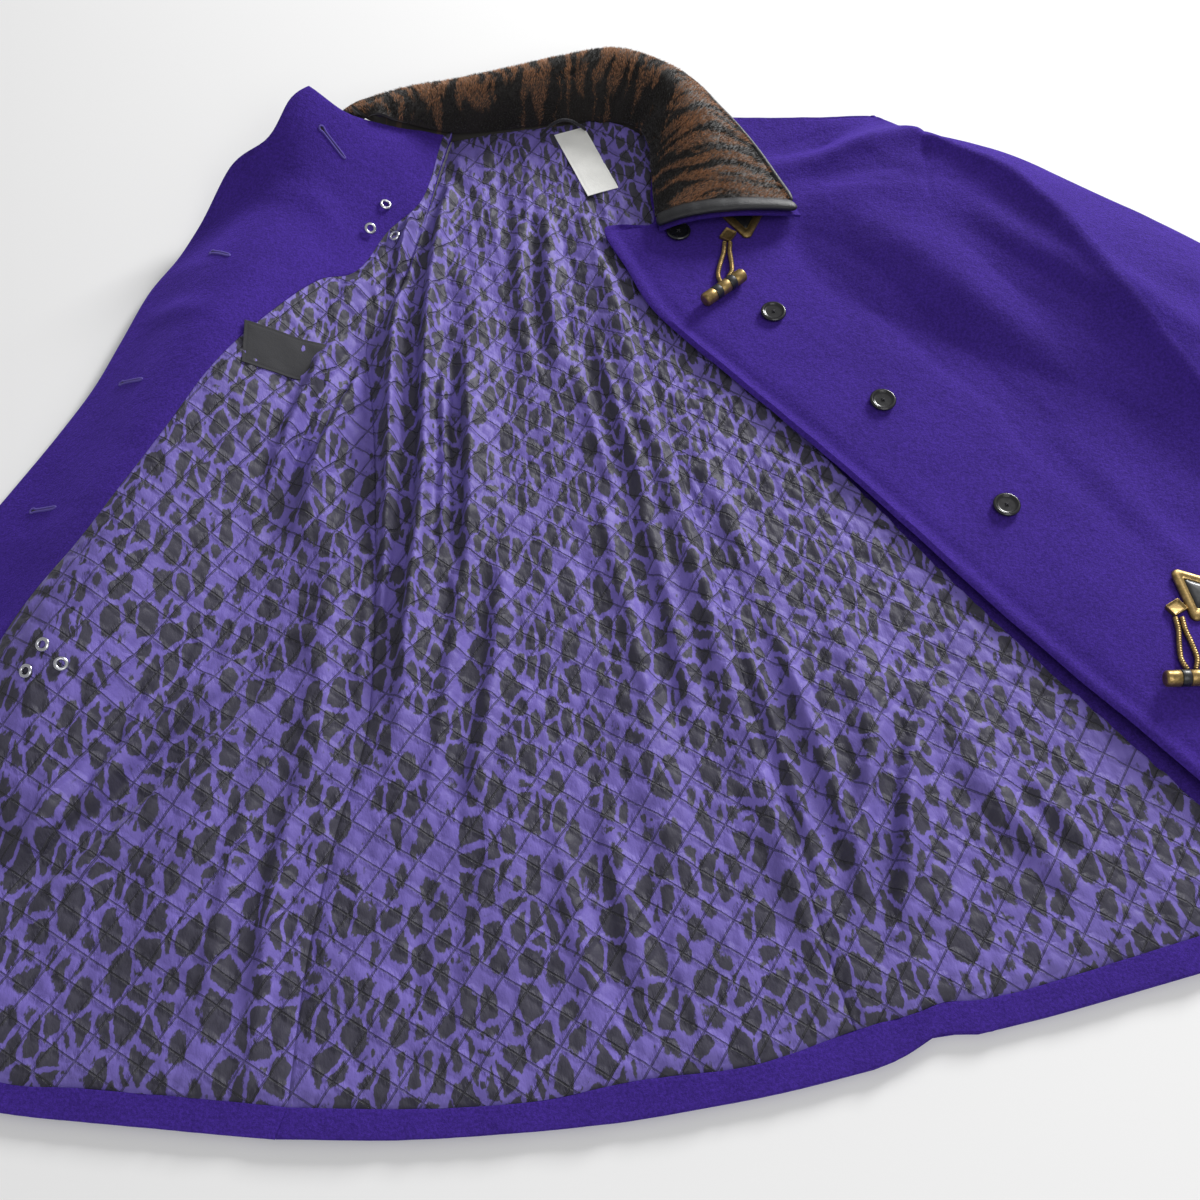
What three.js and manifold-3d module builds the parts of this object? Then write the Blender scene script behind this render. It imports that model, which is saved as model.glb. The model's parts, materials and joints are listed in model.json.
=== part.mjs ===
import * as THREE from 'three';
import { mergeVertices } from 'three/addons/utils/BufferGeometryUtils.js';
import Module from 'manifold-3d';

// A long wool coat laid open on its back. Units are millimetres, +Z up, the table is z = 0.
// The plan tables below are measured from one point of the table; SHIFT brings the middle
// of the coat's own box over the origin.
const SHIFT = { x: -78.03, y: -682.8 };

// Cloth thicknesses and the gap that sewn layers keep.
const GAP = 0.3;
const WOOL = 3;
const HEM_TURN = 2.6;
const FACING = 3;
const LINING = 2.4;
const QUILT_PUFF = 2.4;
const FUR = 9;
const UNDERCOLLAR = 2.4;
const COLLAR_GAP = 1.7;

// The quilting runs in squares set on their corners, square to the coat's grain.
const QUILT_LINES = 32;
const CELL = QUILT_LINES / Math.SQRT2;
const GRAIN = { x: -36, y: 1120, lean: THREE.MathUtils.degToRad(14) };
const CLEAR_OF_EDGE = 9;

// Heights at which the layers of the body lie.
const LINING_LEVEL = WOOL + GAP;
const FRONT_LEVEL = LINING_LEVEL + LINING + QUILT_PUFF + 1.9;

// The back's centre seam and the lining's centre pleat, from the neck to the hem.
const CENTRE_SEAM = [[-26, 1112], [0, 975], [43, 793], [94, 572], [135, 390], [164, 268], [183, 213]];
const CENTRE_PLEAT = [[-26, 1112], [0, 975], [43, 793], [94, 572], [135, 390], [158, 290], [172, 238]];
const RIGHT_SIDE = [
  [-142, 1090], [-158, 1004], [-176, 905], [-205, 838], [-196, 770], [-186, 690],
  [-178, 572], [-175, 463], [-192, 375], [-203, 283], [-212, 170],
];
const LEFT_SIDE = [[112, 1116], [270, 1108], [270, 960], [295, 842], [400, 650], [500, 480], [579, 322]];
const NECK = [[-142, 1090], [-110, 1098], [-70, 1105], [-26, 1112]];
const NECK_LEFT = [[-26, 1112], [30, 1118], [112, 1116]];

// Hem lines: the folded edge of the wool, and the lower edge of the lining above it.
const HEM_RIGHT_FRONT = [[-640, 296], [-560, 238], [-470, 202], [-396, 185], [-293, 175], [-212, 168]];
const HEM_BACK_RIGHT = [[-212, 168], [-117, 168], [0, 177], [76, 189], [127, 199], [183, 213]];
const HEM_BACK_LEFT = [
  [183, 213], [206, 222], [228, 235], [262, 237], [275, 241], [313, 250], [415, 278], [500, 302], [579, 322],
];
const LINING_HEM_RIGHT = [[-553, 262], [-470, 226], [-398, 204], [-346, 200], [-270, 194], [-206, 188]];
const LINING_HEM_BACK_RIGHT = [[-206, 188], [-118, 187], [-42, 192], [24, 205], [102, 215], [172, 238]];
const LINING_HEM_BACK_LEFT = [
  [172, 238], [216, 250], [235, 257], [261, 259], [301, 268], [385, 293], [495, 326],
];

// How far the lining of the back runs on under the left front.
const LINING_LEFT_LIMIT = [[30, 1118], [34, 1000], [56, 880], [150, 745], [300, 555], [420, 415], [495, 326]];

// The turned-open right front: its outer edge and the line where facing meets lining.
const FRONT_EDGE_RIGHT = [
  [-265, 1066], [-280, 1050], [-301, 1020], [-340, 1004], [-370, 958], [-388, 920], [-406, 888],
  [-421, 835], [-436, 784], [-456, 740], [-487, 678], [-530, 590], [-575, 480], [-612, 380], [-640, 296],
];
const FACING_LINE = [
  [-150, 1084], [-165, 1003], [-197, 958], [-218, 910], [-248, 890], [-282, 840], [-318, 778],
  [-350, 708], [-376, 655], [-405, 602], [-445, 545], [-482, 460], [-520, 355], [-553, 262],
];
const NECK_EDGE_RIGHT = [[-150, 1084], [-180, 1077], [-212, 1063], [-236, 1058], [-265, 1066]];

// What lies hidden under the right front: the sleeve with its shoulder.
const RIGHT_SLEEVE = [
  { x: -270, y: 1000, half: 100, height: 34 },
  { x: -312, y: 880, half: 112, height: 50 },
  { x: -340, y: 760, half: 118, height: 52 },
  { x: -378, y: 640, half: 114, height: 48 },
  { x: -412, y: 520, half: 104, height: 40 },
  { x: -432, y: 430, half: 92, height: 26 },
  { x: -438, y: 360, half: 80, height: 2 },
];
const SLEEVE_HIDDEN_SHARE = 0.62;
const SLEEVE_ROUNDING = 30;
const SLEEVE_HIDDEN_EDGE = 2.6;
const SLEEVE_EDGE = 6.4;
const SHOULDER_MOUND = { x: -296, y: 1082, spread: 70, height: 96 };

// The left sleeve, from the shoulder to the cuff, lying out to the right.
const LEFT_SLEEVE = [
  { x: 236, y: 990, half: 96, height: 16 },
  { x: 300, y: 975, half: 140, height: 33 },
  { x: 350, y: 955, half: 146, height: 35 },
  { x: 430, y: 905, half: 142, height: 30 },
  { x: 510, y: 850, half: 132, height: 26 },
  { x: 600, y: 780, half: 108, height: 20 },
  { x: 715, y: 694, half: 80, height: 15 },
];
const SLEEVE_OUTLINE_TOP = [
  [300, 1098], [330, 1092], [372, 1074], [460, 1014], [551, 952], [650, 864], [758, 758],
];
const SLEEVE_OUTLINE_LOW = [[672, 631], [590, 676], [480, 735], [390, 790], [306, 846]];

// Folds of the lining: a soft ridge along each line, as wide and high as its row says.
const BACK_FOLDS = [
  { x0: -164, y0: 985, x1: -180, y1: 640, width: 15, height: 9 },
  { x0: -118, y0: 905, x1: -92, y1: 560, width: 16, height: 8 },
  { x0: -140, y0: 700, x1: -150, y1: 420, width: 18, height: 8 },
  { x0: -60, y0: 1010, x1: -42, y1: 800, width: 14, height: 6 },
  { x0: -8, y0: 975, x1: 40, y1: 740, width: 13, height: 9 },
  { x0: 44, y0: 740, x1: 108, y1: 460, width: 12, height: 11 },
  { x0: 112, y0: 450, x1: 150, y1: 300, width: 13, height: 9 },
  { x0: 88, y0: 700, x1: 122, y1: 600, width: 11, height: 6 },
  { x0: 20, y0: 520, x1: 62, y1: 330, width: 20, height: 6 },
  { x0: 190, y0: 540, x1: 232, y1: 330, width: 19, height: 8 },
  { x0: 262, y0: 480, x1: 330, y1: 340, width: 17, height: 6 },
  { x0: -60, y0: 470, x1: -70, y1: 290, width: 20, height: 5 },
];
const RIGHT_FOLDS = [
  { x0: -196, y0: 930, x1: -232, y1: 860, width: 13, height: 10 },
  { x0: -232, y0: 810, x1: -238, y1: 640, width: 16, height: 13 },
  { x0: -214, y0: 640, x1: -212, y1: 430, width: 17, height: 9 },
  { x0: -290, y0: 480, x1: -300, y1: 300, width: 24, height: 7 },
  { x0: -380, y0: 330, x1: -470, y1: 280, width: 26, height: 5 },
];

// The left front, from the shoulder to the hem. Each row is one section across it: the
// front edge, the folded outer edge, and how far the cloth turns under at that fold.
const LEFT_FRONT = [
  { ax: 96, ay: 1108, bx: 268, by: 1108, under: 14, full: 0 },
  { ax: 70, ay: 1094, bx: 282, by: 1092, under: 14, full: 0.5 },
  { ax: 54, ay: 1062, bx: 306, by: 1056, under: 18, full: 1 },
  { ax: 48, ay: 1008, bx: 372, by: 1002, under: 30, full: 1 },
  { ax: 48, ay: 969, bx: 414, by: 948, under: 36, full: 1 },
  { ax: 5, ay: 962, bx: 428, by: 920, under: 40, full: 1 },
  { ax: 24, ay: 915, bx: 450, by: 880, under: 44, full: 1 },
  { ax: 54, ay: 857, bx: 480, by: 820, under: 50, full: 1 },
  { ax: 134, ay: 768, bx: 528, by: 740, under: 60, full: 1 },
  { ax: 214, ay: 678, bx: 590, by: 668, under: 84, full: 1 },
  { ax: 308, ay: 564, bx: 660, by: 592, under: 130, full: 1 },
  { ax: 400, ay: 458, bx: 725, by: 505, under: 170, full: 1 },
  { ax: 470, ay: 380, bx: 770, by: 430, under: 195, full: 1 },
  { ax: 520, ay: 322, bx: 795, by: 380, under: 205, full: 1 },
];
const FRONT_FOLDS = [
  { x0: 215, y0: 1040, x1: 300, y1: 1056, width: 24, height: 7 },
  { x0: 180, y0: 985, x1: 330, y1: 1015, width: 22, height: 5 },
  { x0: 380, y0: 600, x1: 520, y1: 440, width: 60, height: 8 },
];
const ROLL_RADIUS = 6.5;
const ROLL_FADE = 95;
const ROLL_STEPS = 5;
const FRONT_CLOTH = 3.6;
const FRONT_COLUMNS = 10;
const FRONT_ROWS = 20;
const LAYER_CLEAR = 2;
const FRONT_CLEAR = 4;

// A hard piece stands this far off the cloth, felt for at rings of points around its middle.
const SEAT = 0.4;
const SEAT_RINGS = [0.35, 0.7, 1];
const SEAT_POINTS = 16;
const ABOVE_ALL = 400;

// The collar, from its right end round the back of the neck to the tip on the left front.
// Each row is one section: the neck seam, the roll and the outer edge. On the left front the
// seam and the edge are measured from the cloth below them.
const COLLAR = [
  { nx: -236, ny: 1076, nz: 32, rx: -239, ry: 1082, rz: 38, ox: -244, oy: 1092, oz: 30 },
  { nx: -212, ny: 1068, nz: 55, rx: -219, ry: 1077, rz: 55, ox: -226, oy: 1090, oz: 44 },
  { nx: -193, ny: 1073, nz: 44, rx: -196, ry: 1093, rz: 51, ox: -203, oy: 1114, oz: 32 },
  { nx: -166, ny: 1083, nz: 27, rx: -167, ry: 1106, rz: 47, ox: -174, oy: 1136, oz: 20 },
  { nx: -138, ny: 1090, nz: 16, rx: -137, ry: 1112, rz: 47, ox: -141, oy: 1148, oz: 14 },
  { nx: -96, ny: 1101, nz: 10, rx: -96, ry: 1124, rz: 47, ox: -100, oy: 1164, oz: 10 },
  { nx: -40, ny: 1110, nz: 10, rx: -38, ry: 1138, rz: 51, ox: -34, oy: 1184, oz: 9 },
  { nx: 4, ny: 1113, nz: 10, rx: 14, ry: 1147, rz: 53, ox: 22, oy: 1190, oz: 9 },
  { nx: 38, ny: 1100, nz: 12, rx: 58, ry: 1120, rz: 53, ox: 78, oy: 1148, oz: 12 },
  { nx: 49, ny: 1064, nz: 4, rx: 82, ry: 1084, rz: 50, ox: 116, oy: 1102, oz: 8 },
  { nx: 51, ny: 1034, nz: 4, rx: 92, ry: 1048, rz: 46, ox: 145, oy: 1058, oz: 5 },
  { nx: 52, ny: 998, nz: 4, rx: 98, ry: 1004, rz: 40, ox: 168, oy: 1010, oz: 5 },
  { nx: 53, ny: 956, nz: 5, rx: 104, ry: 960, rz: 36, ox: 184, oy: 968, oz: 9 },
];

// The binding takes the last share of a row at the tip, and a narrow strip of the outer edge.
const COLLAR_ON_FRONT = 40;
const TIP_BINDING = 0.3;
const FUR_ACROSS = 0.955;

// Buttons, toggles, eyelets and the small sewn-on pieces.
const BUTTON = { across: 22.5, thick: 4.4, rim: 2.6, dish: 1.1, hole: 1.9, spread: 2.6 };
const BUTTONS = [[72, 957], [153, 860], [240, 762], [330, 655]];
const BUTTONHOLE = { long: 25, wide: 1.6, eye: 4 };
const BUTTONHOLES = [
  { x: -244, y: 1025, turn: -41 },
  { x: -334, y: 902, turn: -38 },
  { x: -394, y: 769, turn: -23 },
  { x: -450, y: 650, turn: -15 },
];
const EYELET = { outer: 5.6, hole: 2.9, thick: 1.7 };
const EYELETS = [[-198, 986], [-210, 957], [-188, 951], [-415, 511], [-400, 497], [-425, 491]];
const LABEL = { wide: 31, long: 88, thick: 0.9, x: -30, y: 1097, turn: 22 };
const PATCH = { wide: 68, long: 41, thick: 1.2, x: -266, y: 800, turn: 2 };
const HANGER = { from: [-57, 1090], to: [-14, 1097], rise: 18, across: 3.2 };
const PLATE = { side: 46, thick: 3.4, rim: 5.4, corner: 5, inlay: 2.6 };
const BAR = { long: 48, across: 12.6, band: 7, groove: 0.7 };
const CHAIN = { across: 4.4 };
const CHAIN_SPREAD = [[0, 2.6], [0.25, 2.7], [0.5, 4.6], [0.8, 6], [1, 3.2]];
const CORD_SIDES = 8;
const LINK = { long: 13, wide: 11, thick: 4.4 };
const TOGGLES = [
  { x: 132, y: 975, face: 186, linkX: 117, linkY: 951, endX: 110, endY: 884, barTurn: 41 },
  { x: 468, y: 570, face: 160, linkX: 446, linkY: 556, endX: 446, endY: 492, barTurn: 2 },
];

const COLOURS = {
  wool: 0x45299a, wool_inside: 0x3f2690, lining: 0x5a4a92, fur: 0x5b3d28, binding: 0x16181a,
  black_plastic: 0x101014, antique_brass: 0x9a8452, steel: 0xc9cbd2, black_inlay: 0x121212,
  label: 0xe9e7e2, patch: 0x17171c, cord: 0x1b1b1e,
};

const wasm = await Module();
wasm.setup();

const coat = new THREE.Group();

function addPiece(name, geometry, colour, roughness = 0.9, metalness = 0) {
  const material = new THREE.MeshStandardMaterial({ color: COLOURS[colour], roughness, metalness });
  const mesh = new THREE.Mesh(geometry, material);
  mesh.name = name;
  mesh.position.set(SHIFT.x, SHIFT.y, 0);
  coat.add(mesh);
}

function toSolid(geometry) {
  const bare = geometry.clone();
  for (const attribute of Object.keys(bare.attributes)) {
    if (attribute !== 'position') bare.deleteAttribute(attribute);
  }
  const merged = mergeVertices(bare, 1e-4);
  const mesh = new wasm.Mesh({
    numProp: 3,
    vertProperties: new Float32Array(merged.attributes.position.array),
    triVerts: new Uint32Array(merged.index.array),
  });
  return new wasm.Manifold(mesh);
}

function toGeometry(solid) {
  const mesh = solid.getMesh();
  const geometry = new THREE.BufferGeometry();
  geometry.setAttribute('position', new THREE.BufferAttribute(new Float32Array(mesh.vertProperties), 3));
  geometry.setIndex(new THREE.BufferAttribute(new Uint32Array(mesh.triVerts), 1));
  geometry.computeVertexNormals();
  return geometry;
}

function indexed(positions, triangles) {
  const geometry = new THREE.BufferGeometry();
  geometry.setAttribute('position', new THREE.Float32BufferAttribute(positions, 3));
  geometry.setIndex(triangles);
  geometry.computeVertexNormals();
  return geometry;
}

// A smooth line through plan points, given as evenly spaced points.
function smooth(points, step = 24) {
  const curve = new THREE.SplineCurve(points.map(([x, y]) => new THREE.Vector2(x, y)));
  const count = Math.max(2, Math.round(curve.getLength() / step));
  return curve.getSpacedPoints(count).map((p) => [p.x, p.y]);
}

function reversed(points) {
  return [...points].reverse();
}

function moved(points, dx, dy) {
  return points.map(([x, y]) => [x + dx, y + dy]);
}

function joined(...runs) {
  const outline = [];
  for (const run of runs) {
    for (const point of run) {
      const last = outline[outline.length - 1];
      if (!last || Math.hypot(last[0] - point[0], last[1] - point[1]) > 1) outline.push(point);
    }
  }
  const first = outline[0];
  const last = outline[outline.length - 1];
  if (Math.hypot(last[0] - first[0], last[1] - first[1]) < 1) outline.pop();
  return outline;
}

function outlinePrism(outline, low, high) {
  const shape = new THREE.Shape(outline.map(([x, y]) => new THREE.Vector2(x, y)));
  const prism = new THREE.ExtrudeGeometry(shape, { depth: high - low, bevelEnabled: false });
  prism.translate(0, 0, low);
  return toSolid(prism);
}

function distanceToSegment(x, y, x0, y0, x1, y1) {
  const dx = x1 - x0;
  const dy = y1 - y0;
  const along = THREE.MathUtils.clamp(((x - x0) * dx + (y - y0) * dy) / (dx * dx + dy * dy), 0, 1);
  return { along, distance: Math.hypot(x - x0 - along * dx, y - y0 - along * dy) };
}

function distanceToOutline(x, y, outline) {
  let nearest = Infinity;
  outline.forEach(([x0, y0], i) => {
    const [x1, y1] = outline[(i + 1) % outline.length];
    nearest = Math.min(nearest, distanceToSegment(x, y, x0, y0, x1, y1).distance);
  });
  return nearest;
}

// Height of a soft body that follows the rows of a spine.
function spineHeight(x, y, rows, shape) {
  let height = 0;
  for (let i = 0; i + 1 < rows.length; i += 1) {
    const a = rows[i];
    const b = rows[i + 1];
    const { along, distance } = distanceToSegment(x, y, a.x, a.y, b.x, b.y);
    const half = THREE.MathUtils.lerp(a.half, b.half, along);
    const peak = THREE.MathUtils.lerp(a.height, b.height, along);
    if (distance < half) height = Math.max(height, peak * shape(distance / half));
  }
  return height;
}

function foldHeight(x, y, folds) {
  let height = 0;
  for (const fold of folds) {
    const { along, distance } = distanceToSegment(x, y, fold.x0, fold.y0, fold.x1, fold.y1);
    const ends = Math.sin(Math.PI * THREE.MathUtils.clamp(0.15 + 0.7 * along, 0, 1));
    height += fold.height * ends * Math.exp(-((distance / fold.width) ** 2));
  }
  return height;
}

const softHump = (r) => 0.5 * (1 + Math.cos(Math.PI * r));
const domeHump = (r) => 1 - r * r;

// Height of whatever the right front is draped over.
function underRightFront(x, y) {
  const sleeve = spineHeight(x, y, RIGHT_SLEEVE, softHump);
  const { x: mx, y: my, spread, height } = SHOULDER_MOUND;
  const mound = height * Math.exp(-((x - mx) ** 2 + (y - my) ** 2) / (2 * spread ** 2));
  return Math.cbrt(sleeve ** 3 + mound ** 3);
}

function rightFrontHeight(x, y) {
  return underRightFront(x, y) + foldHeight(x, y, RIGHT_FOLDS);
}

function backFoldHeight(x, y) {
  return foldHeight(x, y, BACK_FOLDS);
}

function leftSleeveTop(x, y) {
  return Math.max(SLEEVE_EDGE, spineHeight(x, y, LEFT_SLEEVE, domeHump));
}

// The coat's grain: a net of cells over the whole plan, which every layer shares.
function toGrain(x, y) {
  const cos = Math.cos(GRAIN.lean);
  const sin = Math.sin(GRAIN.lean);
  return [
    ((x - GRAIN.x) * cos + (y - GRAIN.y) * sin) / CELL,
    ((x - GRAIN.x) * sin - (y - GRAIN.y) * cos) / CELL,
  ];
}

function toPlan(a, b) {
  const cos = Math.cos(GRAIN.lean);
  const sin = Math.sin(GRAIN.lean);
  return [GRAIN.x + (a * cos + b * sin) * CELL, GRAIN.y + (a * sin - b * cos) * CELL];
}

// Height of a layer's flat-faced underside, whose corners stand on every second cell.
function netHeight(under, a, b, coarse = 2) {
  const a0 = coarse * Math.floor(a / coarse);
  const b0 = coarse * Math.floor(b / coarse);
  const u = (a - a0) / coarse;
  const v = (b - b0) / coarse;
  const corner = under(...toPlan(a0, b0));
  const far = under(...toPlan(a0 + coarse, b0 + coarse));
  if (u >= v) {
    const side = under(...toPlan(a0 + coarse, b0));
    return corner + (side - corner) * u + (far - side) * v;
  }
  const side = under(...toPlan(a0, b0 + coarse));
  return corner + (side - corner) * v + (far - side) * u;
}

// The highest that a layer over `under` reaches at a plan point, before its own thickness.
function restingHeight(under, x, y) {
  return Math.max(under(x, y), netHeight(under, ...toGrain(x, y)));
}

// A cloth layer: its underside follows `under` on a coarse net of the coat's own grain, its
// upper side is one thickness higher, in quilted squares where `puff` is given.
function clothLayer(outline, under, thickness, options = {}) {
  const { puff = 0, fine = 1, coarse = 2, flatBottom = false } = options;
  const grain = outline.map(([x, y]) => toGrain(x, y));
  const low = (axis) => 2 * Math.floor(Math.min(...grain.map((g) => g[axis])) / 2 - 0.5);
  const high = (axis) => 2 * Math.ceil(Math.max(...grain.map((g) => g[axis])) / 2 + 0.5);
  const aLow = low(0);
  const bLow = low(1);
  const aSteps = high(0) - aLow;
  const bSteps = high(1) - bLow;
  const positions = [];
  const triangles = [];
  const topIndex = [];
  for (let j = 0; j <= bSteps; j += fine) {
    const row = [];
    for (let i = 0; i <= aSteps; i += fine) {
      const [x, y] = toPlan(aLow + i, bLow + j);
      const chord = netHeight(under, aLow + i, bLow + j, coarse);
      let z = fine === coarse ? chord : Math.max(under(x, y), chord);
      z += thickness;
      if (puff > 0 && (i + j) % 2 === 1) {
        z += puff * Math.min(1, distanceToOutline(x, y, outline) / CLEAR_OF_EDGE);
      }
      row.push(positions.length / 3);
      positions.push(x, y, z);
    }
    topIndex.push(row);
  }
  const bottomIndex = [];
  for (let j = 0; j <= bSteps; j += coarse) {
    const row = [];
    for (let i = 0; i <= aSteps; i += coarse) {
      const [x, y] = toPlan(aLow + i, bLow + j);
      row.push(positions.length / 3);
      positions.push(x, y, flatBottom ? 0 : under(x, y));
    }
    bottomIndex.push(row);
  }
  for (let j = 0; j + 1 < topIndex.length; j += 1) {
    for (let i = 0; i + 1 < topIndex[0].length; i += 1) {
      const a = topIndex[j][i];
      const b = topIndex[j][i + 1];
      const c = topIndex[j + 1][i + 1];
      const d = topIndex[j + 1][i];
      if (fine === coarse || (i + j) % 2 === 0) triangles.push(a, c, b, a, d, c);
      else triangles.push(a, d, b, b, d, c);
    }
  }
  for (let j = 0; j + 1 < bottomIndex.length; j += 1) {
    for (let i = 0; i + 1 < bottomIndex[0].length; i += 1) {
      const a = bottomIndex[j][i];
      const b = bottomIndex[j][i + 1];
      const c = bottomIndex[j + 1][i + 1];
      const d = bottomIndex[j + 1][i];
      triangles.push(a, b, c, a, c, d);
    }
  }
  const ratio = coarse / fine;
  const closeSide = (top, bottom) => {
    for (let k = 0; k + 1 < bottom.length; k += 1) {
      triangles.push(bottom[k], top[k * ratio], bottom[k + 1]);
      for (let m = 0; m < ratio; m += 1) {
        triangles.push(bottom[k + 1], top[k * ratio + m], top[k * ratio + m + 1]);
      }
    }
  };
  const lastRow = topIndex.length - 1;
  const lastColumn = topIndex[0].length - 1;
  closeSide(topIndex[0], bottomIndex[0]);
  closeSide(reversed(topIndex[lastRow]), reversed(bottomIndex[bottomIndex.length - 1]));
  closeSide(reversed(topIndex.map((row) => row[0])), reversed(bottomIndex.map((row) => row[0])));
  closeSide(
    topIndex.map((row) => row[lastColumn]),
    bottomIndex.map((row) => row[row.length - 1]),
  );
  const slab = toSolid(indexed(positions, triangles));
  const prism = outlinePrism(outline, -20, 260);
  return slab.intersect(prism);
}

// A wall through rows of outer and inner points; every row has the same number of each.
function sectionWall(outerRows, innerRows) {
  const positions = [];
  const triangles = [];
  const rows = outerRows.length;
  const ring = outerRows[0].length + innerRows[0].length;
  outerRows.forEach((outer, r) => {
    for (const point of [...outer, ...reversed(innerRows[r])]) positions.push(...point);
  });
  for (let r = 0; r + 1 < rows; r += 1) {
    for (let k = 0; k < ring; k += 1) {
      const next = (k + 1) % ring;
      const a = r * ring + k;
      const b = r * ring + next;
      const c = (r + 1) * ring + next;
      const d = (r + 1) * ring + k;
      triangles.push(a, b, c, a, c, d);
    }
  }
  const width = outerRows[0].length;
  for (const [row, flip] of [[0, true], [rows - 1, false]]) {
    for (let k = 0; k + 1 < width; k += 1) {
      const a = row * ring + k;
      const b = row * ring + k + 1;
      const c = row * ring + ring - 2 - k;
      const d = row * ring + ring - 1 - k;
      if (flip) triangles.push(a, c, b, a, d, c);
      else triangles.push(a, b, c, a, c, d);
    }
  }
  const geometry = indexed(positions, triangles);
  return volumeOf(geometry) < 0 ? turnedInsideOut(geometry) : geometry;
}

function volumeOf(geometry) {
  const p = geometry.attributes.position;
  const index = geometry.index.array;
  const a = new THREE.Vector3();
  const b = new THREE.Vector3();
  const c = new THREE.Vector3();
  let volume = 0;
  for (let i = 0; i < index.length; i += 3) {
    a.fromBufferAttribute(p, index[i]);
    b.fromBufferAttribute(p, index[i + 1]);
    c.fromBufferAttribute(p, index[i + 2]);
    volume += a.dot(b.cross(c)) / 6;
  }
  return volume;
}

function turnedInsideOut(geometry) {
  const flipped = [];
  const index = geometry.index.array;
  for (let i = 0; i < index.length; i += 3) flipped.push(index[i], index[i + 2], index[i + 1]);
  geometry.setIndex(flipped);
  geometry.computeVertexNormals();
  return geometry;
}

// The value of every column at one place along a table of rows, smooth from row to row.
function between(rows, place) {
  const last = rows.length - 1;
  const i = Math.min(Math.floor(place), last - 1);
  const t = place - i;
  const at = (k) => rows[THREE.MathUtils.clamp(k, 0, last)];
  const value = {};
  for (const key of Object.keys(rows[0])) {
    const [p0, p1, p2, p3] = [at(i - 1)[key], at(i)[key], at(i + 1)[key], at(i + 2)[key]];
    value[key] = 0.5 * (2 * p1 + (p2 - p0) * t + (2 * p0 - 5 * p1 + 4 * p2 - p3) * t ** 2
      + (3 * p1 - p0 - 3 * p2 + p3) * t ** 3);
  }
  return value;
}

// Back of the coat: two wool panels with the centre seam between them, hem turned up.
function buildBack() {
  const centre = smooth(CENTRE_SEAM, 90);
  const rightSide = smooth(RIGHT_SIDE, 40);
  const leftSide = smooth(LEFT_SIDE, 90);
  const hemRight = smooth(HEM_BACK_RIGHT, 30);
  const hemLeft = smooth(HEM_BACK_LEFT, 24);
  const pleat = smooth(CENTRE_PLEAT, 60);
  const halfGap = GAP / 2;
  const rightPanel = joined(
    moved(rightSide, halfGap, 0), moved(hemRight, halfGap, 0),
    moved(reversed(centre), -halfGap, 0), reversed(smooth(NECK, 30)),
  );
  const leftPanel = joined(
    moved(centre, halfGap, 0), hemLeft, reversed(leftSide), reversed(smooth(NECK_LEFT, 40)),
  );
  addPiece('back_shell_right', toGeometry(outlinePrism(rightPanel, 0, WOOL)), 'wool');
  addPiece('back_shell_left', toGeometry(outlinePrism(leftPanel, 0, WOOL)), 'wool');

  const liningRight = smooth(LINING_HEM_BACK_RIGHT, 30);
  const liningLeft = smooth(LINING_HEM_BACK_LEFT, 24);
  const turnLow = LINING_LEVEL;
  const turnHigh = LINING_LEVEL + HEM_TURN;
  const innerEdge = moved(reversed([...liningRight, ...liningLeft, [562, 345]]), 0, -GAP);
  const hemBand = joined(hemRight, hemLeft, innerEdge);
  addPiece('back_hem', toGeometry(outlinePrism(hemBand, turnLow, turnHigh)), 'wool');

  const under = (x, y) => LINING_LEVEL + backFoldHeight(x, y);
  const visibleSide = smooth(LINING_LEFT_LIMIT, 40);
  const rightLining = joined(
    moved(rightSide.slice(0, -1), halfGap, 0), liningRight,
    moved(reversed(pleat), -halfGap, 0), reversed(smooth(NECK, 30)),
  );
  const leftLining = joined(
    moved(pleat, halfGap, 0), liningLeft, reversed(visibleSide),
  );
  const quilted = { puff: QUILT_PUFF };
  addPiece('back_lining_right', toGeometry(clothLayer(rightLining, under, LINING, quilted)), 'lining', 0.6);
  addPiece('back_lining_left', toGeometry(clothLayer(leftLining, under, LINING, quilted)), 'lining', 0.6);
}

// Right front, turned open: wool below, facing and quilted lining on top.
function buildRightFront() {
  const side = smooth(RIGHT_SIDE, 40);
  const edge = smooth(FRONT_EDGE_RIGHT, 30);
  const facingLine = smooth(FACING_LINE, 30);
  const hem = smooth(HEM_RIGHT_FRONT, 40);
  const neck = smooth(NECK_EDGE_RIGHT, 25);
  const liningHem = smooth(LINING_HEM_RIGHT, 40);
  const halfGap = GAP / 2;
  const shell = joined(moved(side, -halfGap, 0), reversed(hem), reversed(edge), reversed(neck));
  addPiece('right_front_shell', toGeometry(
    clothLayer(shell, rightFrontHeight, WOOL, { fine: 2 }),
  ), 'wool');

  const layerUnder = (x, y) => rightFrontHeight(x, y) + LINING_LEVEL;
  const facingOutline = joined(facingLine, moved(reversed(edge), 0, GAP), reversed(neck));
  let facing = clothLayer(facingOutline, layerUnder, FACING, { fine: 2 });
  for (const place of BUTTONHOLES) facing = facing.subtract(buttonholeCutter(place));
  addPiece('right_front_facing', toGeometry(facing), 'wool');

  const liningOutline = joined(
    moved(side.slice(0, -1), -halfGap, 0), reversed(liningHem), moved(reversed(facingLine), GAP, 0),
  );
  addPiece('right_front_lining', toGeometry(
    clothLayer(liningOutline, layerUnder, LINING, { puff: QUILT_PUFF }),
  ), 'lining', 0.6);

  const hemOutline = joined(moved(hem, -GAP, 0), moved(reversed(liningHem), -GAP, -GAP));
  addPiece('right_front_hem', toGeometry(
    clothLayer(hemOutline, layerUnder, HEM_TURN, { fine: 2 }),
  ), 'wool');
}

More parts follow.
